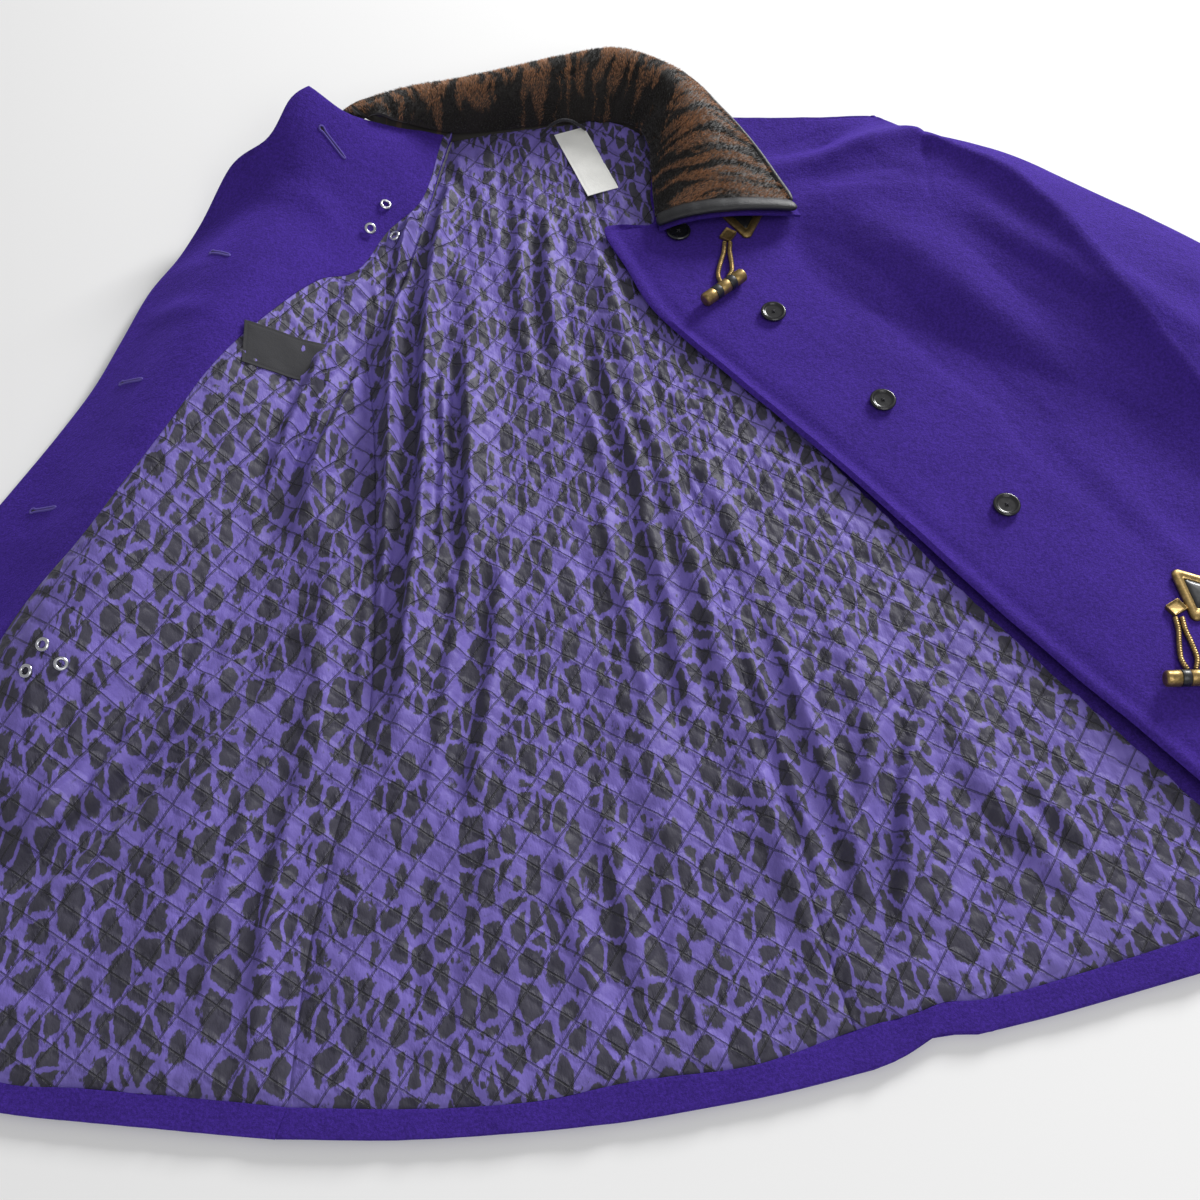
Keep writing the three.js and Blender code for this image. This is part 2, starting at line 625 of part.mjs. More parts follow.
function buttonholeCutter({ x, y, turn }) {
  const slot = new THREE.BoxGeometry(BUTTONHOLE.long, BUTTONHOLE.wide, 300);
  const eye = new THREE.CylinderGeometry(BUTTONHOLE.eye / 2, BUTTONHOLE.eye / 2, 300, 10);
  eye.rotateX(Math.PI / 2);
  eye.translate(-BUTTONHOLE.long / 2, 0, 0);
  const cutter = toSolid(slot).add(toSolid(eye));
  return cutter.rotate([0, 0, turn]).translate([x, y, 150]);
}

// The hidden sleeve and shoulder pad are one rounded solid under the right front.
function buildRightSleeve() {
  const rows = RIGHT_SLEEVE.slice(0, -1);
  const sideLine = (side) => smooth(rows.map((row, i) => {
    const next = RIGHT_SLEEVE[i + 1];
    const run = Math.hypot(next.x - row.x, next.y - row.y);
    const reach = (side * SLEEVE_HIDDEN_SHARE * row.half) / run;
    return [row.x + (next.y - row.y) * reach, row.y - (next.x - row.x) * reach];
  }), 60);
  const outline = joined(sideLine(1), reversed(sideLine(-1)));
  const top = (x, y) => {
    const inset = THREE.MathUtils.clamp(distanceToOutline(x, y, outline) / SLEEVE_ROUNDING, 0, 1);
    const height = (underRightFront(x, y) - LAYER_CLEAR) * Math.sqrt(inset * (2 - inset));
    return Math.max(SLEEVE_HIDDEN_EDGE, height);
  };
  const solid = clothLayer(outline, top, 0, { fine: 2, flatBottom: true });
  addPiece('right_sleeve', toGeometry(solid), 'wool');
}

// The left sleeve: its top side over the rounded layers below it.
function buildLeftSleeve() {
  const outline = joined(smooth(SLEEVE_OUTLINE_TOP, 36), smooth(SLEEVE_OUTLINE_LOW, 36));
  const topUnder = (x, y) => leftSleeveTop(x, y) - WOOL;
  const lowTop = (x, y) => leftSleeveTop(x, y) - WOOL - GAP;
  addPiece('left_sleeve_top', toGeometry(clothLayer(outline, topUnder, WOOL, { fine: 2 })), 'wool');
  addPiece('left_sleeve_under', toGeometry(
    clothLayer(outline, lowTop, 0, { fine: 2, flatBottom: true }),
  ), 'wool');
}

// Underside of the left front's upper layer: over the lining, and over the sleeve.
function leftFrontUnder(x, y) {
  const sleeve = restingHeight(leftSleeveTop, x, y) + FRONT_CLEAR;
  const body = FRONT_LEVEL + backFoldHeight(x, y);
  return (sleeve ** 4 + body ** 4) ** 0.25 + foldHeight(x, y, FRONT_FOLDS);
}

// One section of the left front, from the turned-under end round the fold to the front edge.
function leftFrontSection(row) {
  const length = Math.hypot(row.ax - row.bx, row.ay - row.by);
  const ux = (row.ax - row.bx) / length;
  const uy = (row.ay - row.by) / length;
  const half = FRONT_CLOTH / 2;
  const sleeveHere = spineHeight(row.bx, row.by, LEFT_SLEEVE, domeHump);
  const onSleeve = sleeveHere > 4 ? Math.max(SLEEVE_EDGE, sleeveHere) + FRONT_CLEAR : 0;
  const lip = THREE.MathUtils.lerp(LINING_LEVEL, onSleeve, row.full) + half;
  const middle = [];
  for (const share of [1, 0.5]) {
    middle.push([ROLL_RADIUS + share * (row.under - ROLL_RADIUS), lip]);
  }
  const radius = ROLL_RADIUS;
  for (let k = 0; k <= ROLL_STEPS; k += 1) {
    const angle = Math.PI * (k / ROLL_STEPS - 0.5);
    middle.push([radius - radius * Math.cos(angle), lip + radius + radius * Math.sin(angle)]);
  }
  for (let k = 1; k <= FRONT_COLUMNS; k += 1) {
    const q = radius + (length - radius) * (k / FRONT_COLUMNS);
    const level = leftFrontUnder(row.bx + ux * q, row.by + uy * q) + half;
    const fade = THREE.MathUtils.smoothstep(q, radius, ROLL_FADE);
    middle.push([q, Math.max(level, THREE.MathUtils.lerp(lip + 2 * radius, level, fade))]);
  }
  const outer = [];
  const inner = [];
  middle.forEach(([q, z], k) => {
    const before = middle[Math.max(k - 1, 0)];
    const after = middle[Math.min(k + 1, middle.length - 1)];
    const span = Math.hypot(after[0] - before[0], after[1] - before[1]);
    const nq = -(after[1] - before[1]) / span;
    const nz = (after[0] - before[0]) / span;
    const place = (side) => {
      const sq = q + side * half * nq;
      return [row.bx + ux * sq, row.by + uy * sq, z + side * half * nz];
    };
    outer.push(place(1));
    inner.push(place(-1));
  });
  return { outer, inner };
}

function buildLeftFront() {
  const sections = [];
  for (let k = 0; k <= FRONT_ROWS; k += 1) {
    const place = (k / FRONT_ROWS) * (LEFT_FRONT.length - 1);
    sections.push(leftFrontSection(between(LEFT_FRONT, place)));
  }
  addPiece('left_front', sectionWall(sections.map((c) => c.outer), sections.map((c) => c.inner)), 'wool');
}

// What the collar's neck seam and outer edge are measured from.
function collarSeat(x, y) {
  return x > COLLAR_ON_FRONT ? frontTop(x, y) : 0;
}

// A point of the collar: `across` runs from the neck seam over the roll to the outer edge.
function collarPoint(place, across, raise) {
  const at = (p, t) => {
    const row = between(COLLAR, THREE.MathUtils.clamp(p, 0, COLLAR.length - 1));
    const seat = collarSeat(row.nx, row.ny) + row.nz;
    const edge = collarSeat(row.ox, row.oy) + row.oz;
    const wn = 2 * (t - 0.5) * (t - 1);
    const wr = 4 * t * (1 - t);
    const wo = 2 * t * (t - 0.5);
    return new THREE.Vector3(
      wn * row.nx + wr * row.rx + wo * row.ox,
      wn * row.ny + wr * row.ry + wo * row.oy,
      wn * seat + wr * row.rz + wo * edge,
    );
  };
  const step = 0.02;
  const middle = at(place, across);
  const along = at(place + step, across).sub(at(place - step, across));
  const over = at(place, across + step).sub(at(place, across - step));
  const normal = along.cross(over).normalize();
  return middle.addScaledVector(normal, raise).toArray();
}

function collarPiece(name, places, crosses, low, high, colour, rough) {
  const layer = (raise) => places.map((p) => crosses.map((t) => collarPoint(p, t, raise)));
  addPiece(name, sectionWall(layer(high), layer(low)), colour, rough);
}

function steps(from, to, count) {
  return Array.from({ length: count + 1 }, (_, k) => from + ((to - from) * k) / count);
}

function buildCollar() {
  const end = COLLAR.length - 1;
  const furEnd = end - TIP_BINDING;
  const furPlaces = steps(0, furEnd, 26);
  collarPiece('collar_fur', furPlaces, steps(0, FUR_ACROSS, 7), 0, FUR, 'fur');
  collarPiece('collar_edge_binding', furPlaces, steps(FUR_ACROSS + 0.018, 1, 1), 0, FUR - 2, 'binding');
  collarPiece('collar_tip_binding', steps(furEnd + 0.01, end, 1), steps(0, 1, 7), 0, FUR - 1.5, 'binding');
  const underAcross = [...steps(0, FUR_ACROSS, 7), 1];
  const underLow = -COLLAR_GAP - UNDERCOLLAR;
  collarPiece('undercollar', [...furPlaces, end], underAcross, underLow, -COLLAR_GAP, 'wool');
}

function frontTop(x, y) {
  return leftFrontUnder(x, y) + FRONT_CLOTH;
}

// Height of the upper side of finished pieces at a plan point, or `rough` beside them.
function topOf(names, rough) {
  const meshes = names.map((name) => coat.getObjectByName(name));
  meshes.forEach((mesh) => mesh.updateMatrixWorld());
  const down = new THREE.Vector3(0, 0, -1);
  return (x, y) => {
    const above = new THREE.Vector3(x + SHIFT.x, y + SHIFT.y, ABOVE_ALL);
    const hits = new THREE.Raycaster(above, down).intersectObjects(meshes, false);
    return hits.length > 0 ? hits[0].point.z : rough(x, y);
  };
}

// Turns a hard piece to the slope of the cloth under it and sets it down just clear of it.
function seatedOn(surface, x, y, reach) {
  const slopeX = (surface(x + reach, y) - surface(x - reach, y)) / (2 * reach);
  const slopeY = (surface(x, y + reach) - surface(x, y - reach)) / (2 * reach);
  let rise = surface(x, y);
  for (const share of SEAT_RINGS) {
    for (let k = 0; k < SEAT_POINTS; k += 1) {
      const angle = (2 * Math.PI * k) / SEAT_POINTS;
      const dx = share * reach * Math.cos(angle);
      const dy = share * reach * Math.sin(angle);
      rise = Math.max(rise, surface(x + dx, y + dy) - slopeX * dx - slopeY * dy);
    }
  }
  const normal = new THREE.Vector3(-slopeX, -slopeY, 1).normalize();
  const turn = new THREE.Quaternion().setFromUnitVectors(new THREE.Vector3(0, 0, 1), normal);
  return new THREE.Matrix4().compose(
    new THREE.Vector3(x, y, rise + SEAT), turn, new THREE.Vector3(1, 1, 1),
  );
}

function latheSolid(profile, segments) {
  const geometry = new THREE.LatheGeometry(profile.map(([r, z]) => new THREE.Vector2(r, z)), segments);
  geometry.rotateX(Math.PI / 2);
  return geometry;
}

function closedGeometry(geometry) {
  return toGeometry(toSolid(geometry));
}

function buildButtons() {
  const { across, thick, rim, dish, hole, spread } = BUTTON;
  const r = across / 2;
  const cloth = topOf(['left_front'], frontTop);
  BUTTONS.forEach(([x, y], n) => {
    let button = toSolid(latheSolid([
      [0, 0], [r * 0.72, 0], [r, thick * 0.45], [r - 0.4, thick], [r - rim, thick],
      [r - rim - 1.2, thick - dish], [0, thick - dish],
    ], 16));
    for (const [sx, sy] of [[1, 1], [1, -1], [-1, 1], [-1, -1]]) {
      const drill = new THREE.CylinderGeometry(hole / 2, hole / 2, 20, 6);
      drill.rotateX(Math.PI / 2);
      drill.translate((sx * spread) / 2, (sy * spread) / 2, 0);
      button = button.subtract(toSolid(drill));
    }
    const placed = toGeometry(button).applyMatrix4(seatedOn(cloth, x, y, r));
    addPiece(`button_${n + 1}`, placed, 'black_plastic', 0.25);
  });
}

function triangleShape(side, corner) {
  const shape = new THREE.Shape();
  const radius = side / Math.sqrt(3) - corner;
  for (let k = 0; k < 3; k += 1) {
    const angle = Math.PI * (0.5 + (2 * k) / 3);
    const cx = radius * Math.cos(angle);
    const cy = radius * Math.sin(angle);
    shape.absarc(cx, cy, corner, angle - Math.PI / 3, angle + Math.PI / 3, false);
  }
  return shape;
}

function strand(points, across, segments) {
  const curve = new THREE.CatmullRomCurve3(points.map((p) => new THREE.Vector3(...p)));
  const circle = new THREE.Shape();
  circle.absarc(0, 0, across / 2, 0, 2 * Math.PI, false);
  return new THREE.ExtrudeGeometry(circle, {
    steps: segments, curveSegments: CORD_SIDES / 2, bevelEnabled: false, extrudePath: curve,
  });
}

// A toggle: the triangular plate with its inlay, the link, two strands of chain and the bar.
function buildToggles() {
  const cloth = topOf(['left_front'], frontTop);
  TOGGLES.forEach((toggle, n) => {
    const name = `toggle_${n + 1}`;
    const turn = THREE.MathUtils.degToRad(toggle.face);
    const seat = seatedOn(cloth, toggle.x, toggle.y, PLATE.side / Math.sqrt(3));
    const rimShape = triangleShape(PLATE.side, PLATE.corner);
    const inner = triangleShape(PLATE.side - 2 * PLATE.rim * Math.sqrt(3), 1.5);
    rimShape.holes.push(inner);
    const rim = new THREE.ExtrudeGeometry(rimShape, {
      depth: PLATE.thick, bevelEnabled: false, curveSegments: 3,
    });
    const inlayShape = triangleShape(PLATE.side - 2 * PLATE.rim * Math.sqrt(3) - 1.2, 1.3);
    const inlay = new THREE.ExtrudeGeometry(inlayShape, {
      depth: PLATE.inlay, bevelEnabled: false, curveSegments: 2,
    });
    for (const [suffix, geometry, colour, rough, metal] of [
      ['plate', rim, 'antique_brass', 0.35, 1], ['inlay', inlay, 'black_inlay', 0.4, 0],
    ]) {
      geometry.rotateZ(turn);
      geometry.applyMatrix4(seat);
      addPiece(`${name}_${suffix}`, closedGeometry(geometry), colour, rough, metal);
    }
    buildToggleChain(name, toggle, cloth);
    buildToggleBar(name, toggle, cloth);
  });
}

function buildToggleChain(name, toggle, cloth) {
  const half = CHAIN.across / 2;
  const { linkX, linkY, endX, endY } = toggle;
  const lie = (x, y) => cloth(x, y) + half + 2 * SEAT;
  const link = new THREE.BoxGeometry(LINK.wide, LINK.long, LINK.thick);
  link.rotateZ(Math.atan2(linkY - toggle.y, linkX - toggle.x) - Math.PI / 2);
  link.translate(0, 0, LINK.thick / 2);
  link.applyMatrix4(seatedOn(cloth, linkX, linkY, LINK.long / 2));
  addPiece(`${name}_link`, closedGeometry(link), 'antique_brass', 0.35, 1);
  const dx = endX - linkX;
  const dy = endY - linkY;
  const length = Math.hypot(dx, dy);
  const away = { x: -dy / length, y: dx / length };
  const barTurn = THREE.MathUtils.degToRad(toggle.barTurn);
  const axis = { x: Math.cos(barTurn), y: Math.sin(barTurn) };
  for (const side of [-1, 1]) {
    const clearLink = LINK.long / 2 + 2.5;
    const lastSpread = side * CHAIN_SPREAD[CHAIN_SPREAD.length - 1][1];
    const startX = linkX - endX + away.x * lastSpread;
    const startY = linkY - endY + away.y * lastSpread;
    const toBar = Math.abs(startX * axis.y - startY * axis.x) - BAR.across / 2 - half - SEAT;
    const reach = toBar / Math.abs((dx * axis.y - dy * axis.x) / length);
    const points = CHAIN_SPREAD.map(([share, spread]) => {
      const run = clearLink + share * (reach - clearLink);
      const x = linkX + (dx / length) * run + away.x * side * spread;
      const y = linkY + (dy / length) * run + away.y * side * spread;
      return [x, y, lie(x, y)];
    });
    addPiece(`${name}_chain_${side < 0 ? 'a' : 'b'}`, closedGeometry(strand(points, CHAIN.across, 9)),
      'antique_brass', 0.4, 1);
  }
}

function buildToggleBar(name, toggle, cloth) {
  const r = BAR.across / 2;
  const groove = r - BAR.groove;
  const end = BAR.long / 2;
  const bandIn = BAR.band * 0.7;
  const bandOut = bandIn + BAR.band;
  const profile = [
    [0, -end], [r - 1.5, -end], [r, -end + 1.5], [r, -bandOut], [groove, -bandOut], [groove, -bandIn],
    [r, -bandIn], [r, bandIn], [groove, bandIn], [groove, bandOut], [r, bandOut], [r, end - 1.5],
    [r - 1.5, end], [0, end],
  ];
  const place = (geometry) => {
    geometry.rotateY(Math.PI / 2);
    geometry.rotateZ(THREE.MathUtils.degToRad(toggle.barTurn));
    geometry.translate(toggle.endX, toggle.endY, cloth(toggle.endX, toggle.endY) + r + 2 * SEAT);
    return closedGeometry(geometry);
  };
  addPiece(`${name}_bar`, place(latheSolid(profile, 12)), 'antique_brass', 0.35, 1);
  for (const side of [-1, 1]) {
    const low = side < 0 ? -bandOut + 0.2 : bandIn + 0.2;
    const high = low + BAR.band - 0.4;
    const within = groove + 0.3;
    const around = r + 0.2;
    const ring = [[within, low], [around, low], [around, high], [within, high], [within, low]];
    addPiece(`${name}_band_${side < 0 ? 'a' : 'b'}`, place(latheSolid(ring, 12)), 'black_inlay', 0.4);
  }
}

function buildEyelets() {
  const { outer, hole, thick } = EYELET;
  const rough = (x, y) => rightFrontHeight(x, y) + LINING_LEVEL + LINING;
  const cloth = topOf(['right_front_lining', 'right_front_facing'], rough);
  EYELETS.forEach(([x, y], n) => {
    const ring = latheSolid([
      [hole, 0], [outer, 0], [outer - 0.5, thick * 0.7], [(outer + hole) / 2, thick],
      [hole, thick * 0.6], [hole, 0],
    ], 12);
    ring.applyMatrix4(seatedOn(cloth, x, y, outer));
    addPiece(`eyelet_${n + 1}`, closedGeometry(ring), 'steel', 0.3, 1);
  });
}

// A small flat piece sewn on a lining, following what lies under it.
function sewnOn(name, piece, under, colour) {
  const turn = THREE.MathUtils.degToRad(piece.turn);
  const cos = Math.cos(turn);
  const sin = Math.sin(turn);
  const columns = steps(-piece.wide / 2, piece.wide / 2, 4);
  const rows = steps(piece.hangs ? 0 : piece.long / 2, piece.hangs ? -piece.long : -piece.long / 2, 6);
  const layer = (raise) => rows.map((v) => columns.map((u) => {
    const x = piece.x + u * cos - v * sin;
    const y = piece.y + u * sin + v * cos;
    return [x, y, under(x, y) + raise];
  }));
  addPiece(name, sectionWall(layer(piece.thick), layer(0)), colour);
}

function buildSmallPieces() {
  const onLining = LINING_LEVEL + LINING + QUILT_PUFF + SEAT;
  const onBack = (x, y) => restingHeight(backFoldHeight, x, y) + onLining;
  const onRight = (x, y) => restingHeight(rightFrontHeight, x, y) + onLining;
  sewnOn('care_label', { ...LABEL, hangs: true }, onBack, 'label');
  sewnOn('lining_patch', PATCH, onRight, 'patch');
  const [x0, y0] = HANGER.from;
  const [x1, y1] = HANGER.to;
  const low = LINING_LEVEL + LINING + QUILT_PUFF + HANGER.across;
  const loop = steps(0, 1, 6).map((t) => [
    x0 + (x1 - x0) * t, y0 + (y1 - y0) * t, low + HANGER.rise * Math.sin(Math.PI * t),
  ]);
  addPiece('hanger_loop', closedGeometry(strand(loop, HANGER.across, 8)), 'cord');
}

buildBack();
buildRightFront();
buildRightSleeve();
buildLeftSleeve();
buildLeftFront();
buildCollar();
buildButtons();
buildToggles();
buildEyelets();
buildSmallPieces();

export default coat;
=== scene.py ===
"""A long wool coat laid open on its back: wool, quilted lining, striped fur collar and trim."""

import json
import math

import bmesh
import bpy
import numpy as np
from bpy.props import FloatProperty, FloatVectorProperty, IntProperty, PointerProperty
from mathutils import Matrix, Vector
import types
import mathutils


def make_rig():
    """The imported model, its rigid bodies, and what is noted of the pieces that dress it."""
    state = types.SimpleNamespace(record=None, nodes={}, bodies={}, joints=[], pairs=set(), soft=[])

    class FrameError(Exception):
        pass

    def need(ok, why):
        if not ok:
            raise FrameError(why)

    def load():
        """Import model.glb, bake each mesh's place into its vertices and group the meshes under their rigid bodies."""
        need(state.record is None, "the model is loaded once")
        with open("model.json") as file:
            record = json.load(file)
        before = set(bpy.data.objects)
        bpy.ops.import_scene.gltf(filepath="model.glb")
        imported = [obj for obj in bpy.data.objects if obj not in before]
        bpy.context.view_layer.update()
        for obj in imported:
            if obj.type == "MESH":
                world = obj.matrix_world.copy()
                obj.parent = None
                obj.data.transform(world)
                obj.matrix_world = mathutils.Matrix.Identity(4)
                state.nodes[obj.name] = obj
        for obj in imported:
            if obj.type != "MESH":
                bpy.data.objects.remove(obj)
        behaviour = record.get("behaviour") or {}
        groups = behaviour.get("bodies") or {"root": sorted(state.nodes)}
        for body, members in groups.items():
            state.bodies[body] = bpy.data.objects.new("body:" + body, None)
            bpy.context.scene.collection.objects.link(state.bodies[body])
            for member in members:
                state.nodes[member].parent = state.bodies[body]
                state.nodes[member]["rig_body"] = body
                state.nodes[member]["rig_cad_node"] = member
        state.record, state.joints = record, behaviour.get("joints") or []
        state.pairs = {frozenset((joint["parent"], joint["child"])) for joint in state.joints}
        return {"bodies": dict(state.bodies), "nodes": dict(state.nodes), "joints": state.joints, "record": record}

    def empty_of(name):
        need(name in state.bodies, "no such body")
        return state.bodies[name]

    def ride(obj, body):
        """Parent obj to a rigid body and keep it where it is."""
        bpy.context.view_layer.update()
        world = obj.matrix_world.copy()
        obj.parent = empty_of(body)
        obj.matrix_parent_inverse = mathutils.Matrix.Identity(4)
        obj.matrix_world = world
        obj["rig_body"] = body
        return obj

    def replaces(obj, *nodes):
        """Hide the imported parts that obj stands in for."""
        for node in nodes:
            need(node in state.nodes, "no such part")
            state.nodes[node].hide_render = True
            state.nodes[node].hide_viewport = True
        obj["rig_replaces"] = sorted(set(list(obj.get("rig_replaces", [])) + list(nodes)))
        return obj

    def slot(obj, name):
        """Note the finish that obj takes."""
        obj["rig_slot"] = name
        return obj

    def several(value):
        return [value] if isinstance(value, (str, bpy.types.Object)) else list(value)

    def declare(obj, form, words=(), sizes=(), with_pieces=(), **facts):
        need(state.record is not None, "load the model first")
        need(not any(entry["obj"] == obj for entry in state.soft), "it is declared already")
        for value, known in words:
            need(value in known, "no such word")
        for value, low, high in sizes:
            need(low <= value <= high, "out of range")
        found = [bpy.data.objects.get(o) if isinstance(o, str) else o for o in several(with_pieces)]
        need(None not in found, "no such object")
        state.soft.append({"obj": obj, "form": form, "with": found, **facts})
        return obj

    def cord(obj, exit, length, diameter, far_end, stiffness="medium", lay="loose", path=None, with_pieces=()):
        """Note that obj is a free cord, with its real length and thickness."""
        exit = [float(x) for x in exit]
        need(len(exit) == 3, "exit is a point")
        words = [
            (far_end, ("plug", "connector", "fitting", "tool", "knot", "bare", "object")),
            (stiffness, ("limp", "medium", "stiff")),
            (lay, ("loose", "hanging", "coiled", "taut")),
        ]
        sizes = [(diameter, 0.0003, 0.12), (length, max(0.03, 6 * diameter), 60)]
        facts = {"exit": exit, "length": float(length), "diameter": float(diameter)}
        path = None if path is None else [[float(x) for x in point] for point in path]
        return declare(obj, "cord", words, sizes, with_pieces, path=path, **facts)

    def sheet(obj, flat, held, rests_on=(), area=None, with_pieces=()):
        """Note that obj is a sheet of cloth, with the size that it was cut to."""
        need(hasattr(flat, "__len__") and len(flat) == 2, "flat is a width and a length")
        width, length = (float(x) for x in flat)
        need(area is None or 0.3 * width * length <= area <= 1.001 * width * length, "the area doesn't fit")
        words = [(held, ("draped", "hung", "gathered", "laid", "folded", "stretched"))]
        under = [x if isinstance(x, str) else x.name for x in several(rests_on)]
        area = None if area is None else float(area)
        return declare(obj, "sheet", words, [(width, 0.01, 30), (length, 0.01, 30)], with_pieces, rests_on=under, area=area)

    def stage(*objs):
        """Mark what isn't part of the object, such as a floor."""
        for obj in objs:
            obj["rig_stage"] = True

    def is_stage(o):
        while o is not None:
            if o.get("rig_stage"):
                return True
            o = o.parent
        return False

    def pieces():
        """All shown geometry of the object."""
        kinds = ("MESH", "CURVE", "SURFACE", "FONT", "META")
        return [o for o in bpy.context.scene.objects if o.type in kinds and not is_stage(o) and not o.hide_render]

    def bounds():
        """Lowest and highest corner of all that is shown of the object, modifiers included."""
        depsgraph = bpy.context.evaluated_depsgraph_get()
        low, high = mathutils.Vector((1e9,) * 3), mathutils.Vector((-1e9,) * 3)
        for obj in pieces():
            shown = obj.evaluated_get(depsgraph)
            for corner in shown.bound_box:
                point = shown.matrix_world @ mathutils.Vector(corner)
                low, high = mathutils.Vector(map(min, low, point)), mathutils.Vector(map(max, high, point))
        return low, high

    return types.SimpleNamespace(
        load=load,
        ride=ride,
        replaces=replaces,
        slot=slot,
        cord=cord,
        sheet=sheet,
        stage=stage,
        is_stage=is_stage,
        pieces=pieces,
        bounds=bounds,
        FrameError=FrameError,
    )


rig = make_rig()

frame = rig.load()
CAD_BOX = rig.bounds()

bl_info = {
    "name": "Long Wool Coat",
    "version": (1, 0, 0),
    "blender": (4, 5, 0),
    "location": "3D View > Sidebar > Coat",
    "description": "Models a long wool coat that lies open on its back",
    "category": "Object",
}

# The cutting tables are in millimetres on the plan of the laid coat. SHIFT moves them to the
# frame's origin, and MM turns them to metres.
MM = 0.001
SHIFT = np.array([-78.03, -682.8, 0.0])
CAMERA_HEIGHT = 1.0
CAMERA_TILT = math.radians(30)
CAMERA_LENS = 43.5
# Each lamp: name, place, size and power.
LAMPS = [("key_light", (1.5, 2.3, 1.15), 0.8, 108), ("fill_light", (0.7, -1.5, 2.3), 1.8, 26)]
STUDIO_LIGHT = 0.38
FLOOR_REACH = 6.0
FLOOR_DROP = 0.0006

GAP = 0.3
WOOL = 3.0
HEM_TURN = 2.6
FACING = 3.0
LINING = 2.4
LINING_LEVEL = WOOL + GAP
QUILT_SPACE = 1.9
FRONT_LEVEL = LINING_LEVEL + LINING + 2.4 + QUILT_SPACE
FRONT_CLEAR = 4.8
FRONT_CLOTH = 3.6
SLEEVE_EDGE = 6.4
ROLL_RADIUS = 6.5
ROLL_FADE = 95.0
COLLAR_GAP = 1.7
UNDERCOLLAR = 2.4
GRAIN_AT = (-36.0, 1120.0)
GRAIN_LEAN = math.radians(14)
PRINT_FROM = (-130.0, 2050.0)
PRINT_FLARE = 1650.0

CENTRE_SEAM = [(-26, 1112), (0, 975), (43, 793), (94, 572), (135, 390), (164, 268), (183, 213)]
CENTRE_PLEAT = [(-26, 1112), (0, 975), (43, 793), (94, 572), (135, 390), (158, 290), (172, 238)]
RIGHT_SIDE = [
    (-142, 1090), (-158, 1004), (-176, 905), (-205, 838), (-196, 770), (-186, 690),
    (-178, 572), (-175, 463), (-192, 375), (-203, 283), (-212, 170),
]
LEFT_SIDE = [(112, 1116), (270, 1108), (270, 960), (295, 842), (400, 650), (500, 480), (579, 322)]
NECK = [(-142, 1090), (-110, 1098), (-70, 1105), (-26, 1112)]
NECK_LEFT = [(-26, 1112), (30, 1118), (112, 1116)]
HEM_RIGHT_FRONT = [(-640, 296), (-560, 238), (-470, 202), (-396, 185), (-293, 175), (-212, 168)]
HEM_BACK_RIGHT = [(-212, 168), (-117, 168), (0, 177), (76, 189), (127, 199), (183, 213)]
HEM_BACK_LEFT = [
    (183, 213), (206, 222), (228, 235), (262, 237), (275, 241), (313, 250), (415, 278),
    (500, 302), (579, 322),
]
LINING_HEM_RIGHT = [(-553, 262), (-470, 226), (-398, 204), (-346, 200), (-270, 194), (-206, 188)]
LINING_HEM_BACK_RIGHT = [(-206, 188), (-118, 187), (-42, 192), (24, 205), (102, 215), (172, 238)]
LINING_HEM_BACK_LEFT = [
    (172, 238), (216, 250), (235, 257), (261, 259), (301, 268), (385, 293), (495, 326),
]
LINING_LEFT_LIMIT = [
    (76, 1117), (82, 1000), (84, 880), (165, 745), (308, 555), (425, 415), (495, 326),
]
FRONT_EDGE_RIGHT = [
    (-265, 1066), (-280, 1050), (-301, 1020), (-340, 1004), (-370, 958), (-388, 920),
    (-406, 888), (-421, 835), (-436, 784), (-456, 740), (-487, 678), (-530, 590), (-575, 480),
    (-612, 380), (-640, 296),
]
FACING_LINE = [
    (-150, 1084), (-165, 1003), (-197, 958), (-218, 910), (-248, 890), (-282, 840), (-318, 778),
    (-350, 708), (-376, 655), (-405, 602), (-445, 545), (-482, 460), (-520, 355), (-553, 262),
]
NECK_EDGE_RIGHT = [(-265, 1066), (-236, 1058), (-212, 1063), (-180, 1077), (-150, 1084)]
LINING_SIDE = RIGHT_SIDE[:-1] + LINING_HEM_RIGHT[-1:]
BACK_HEM_CORNER = (562, 345)

# What the right front is draped over: x, y, half width, height along the hidden sleeve.
RIGHT_SLEEVE = [
    (-270, 1000, 100, 34), (-312, 880, 112, 50), (-340, 760, 118, 52), (-378, 640, 114, 48),
    (-412, 520, 104, 40), (-432, 430, 92, 26), (-438, 360, 80, 2),
]
HIDDEN_SHARE = 0.62
SHOULDER_MOUND = {"x": -296, "y": 1082, "spread": 70, "height": 96}
LEFT_SLEEVE = [
    (236, 990, 96, 16), (300, 975, 140, 33), (350, 955, 146, 35), (430, 905, 142, 30),
    (510, 850, 132, 26), (600, 780, 108, 20), (715, 694, 80, 15),
]
SLEEVE_TOP_LINE = [
    (300, 1098), (330, 1092), (372, 1074), (460, 1014), (551, 952), (650, 864), (758, 758),
]
SLEEVE_LOW_LINE = [(306, 846), (390, 790), (480, 735), (590, 676), (672, 631)]
CUFF_LINE = [(758, 758), (716, 696), (672, 631)]
ARMHOLE_LINE = [(300, 1098), (296, 970), (306, 846)]

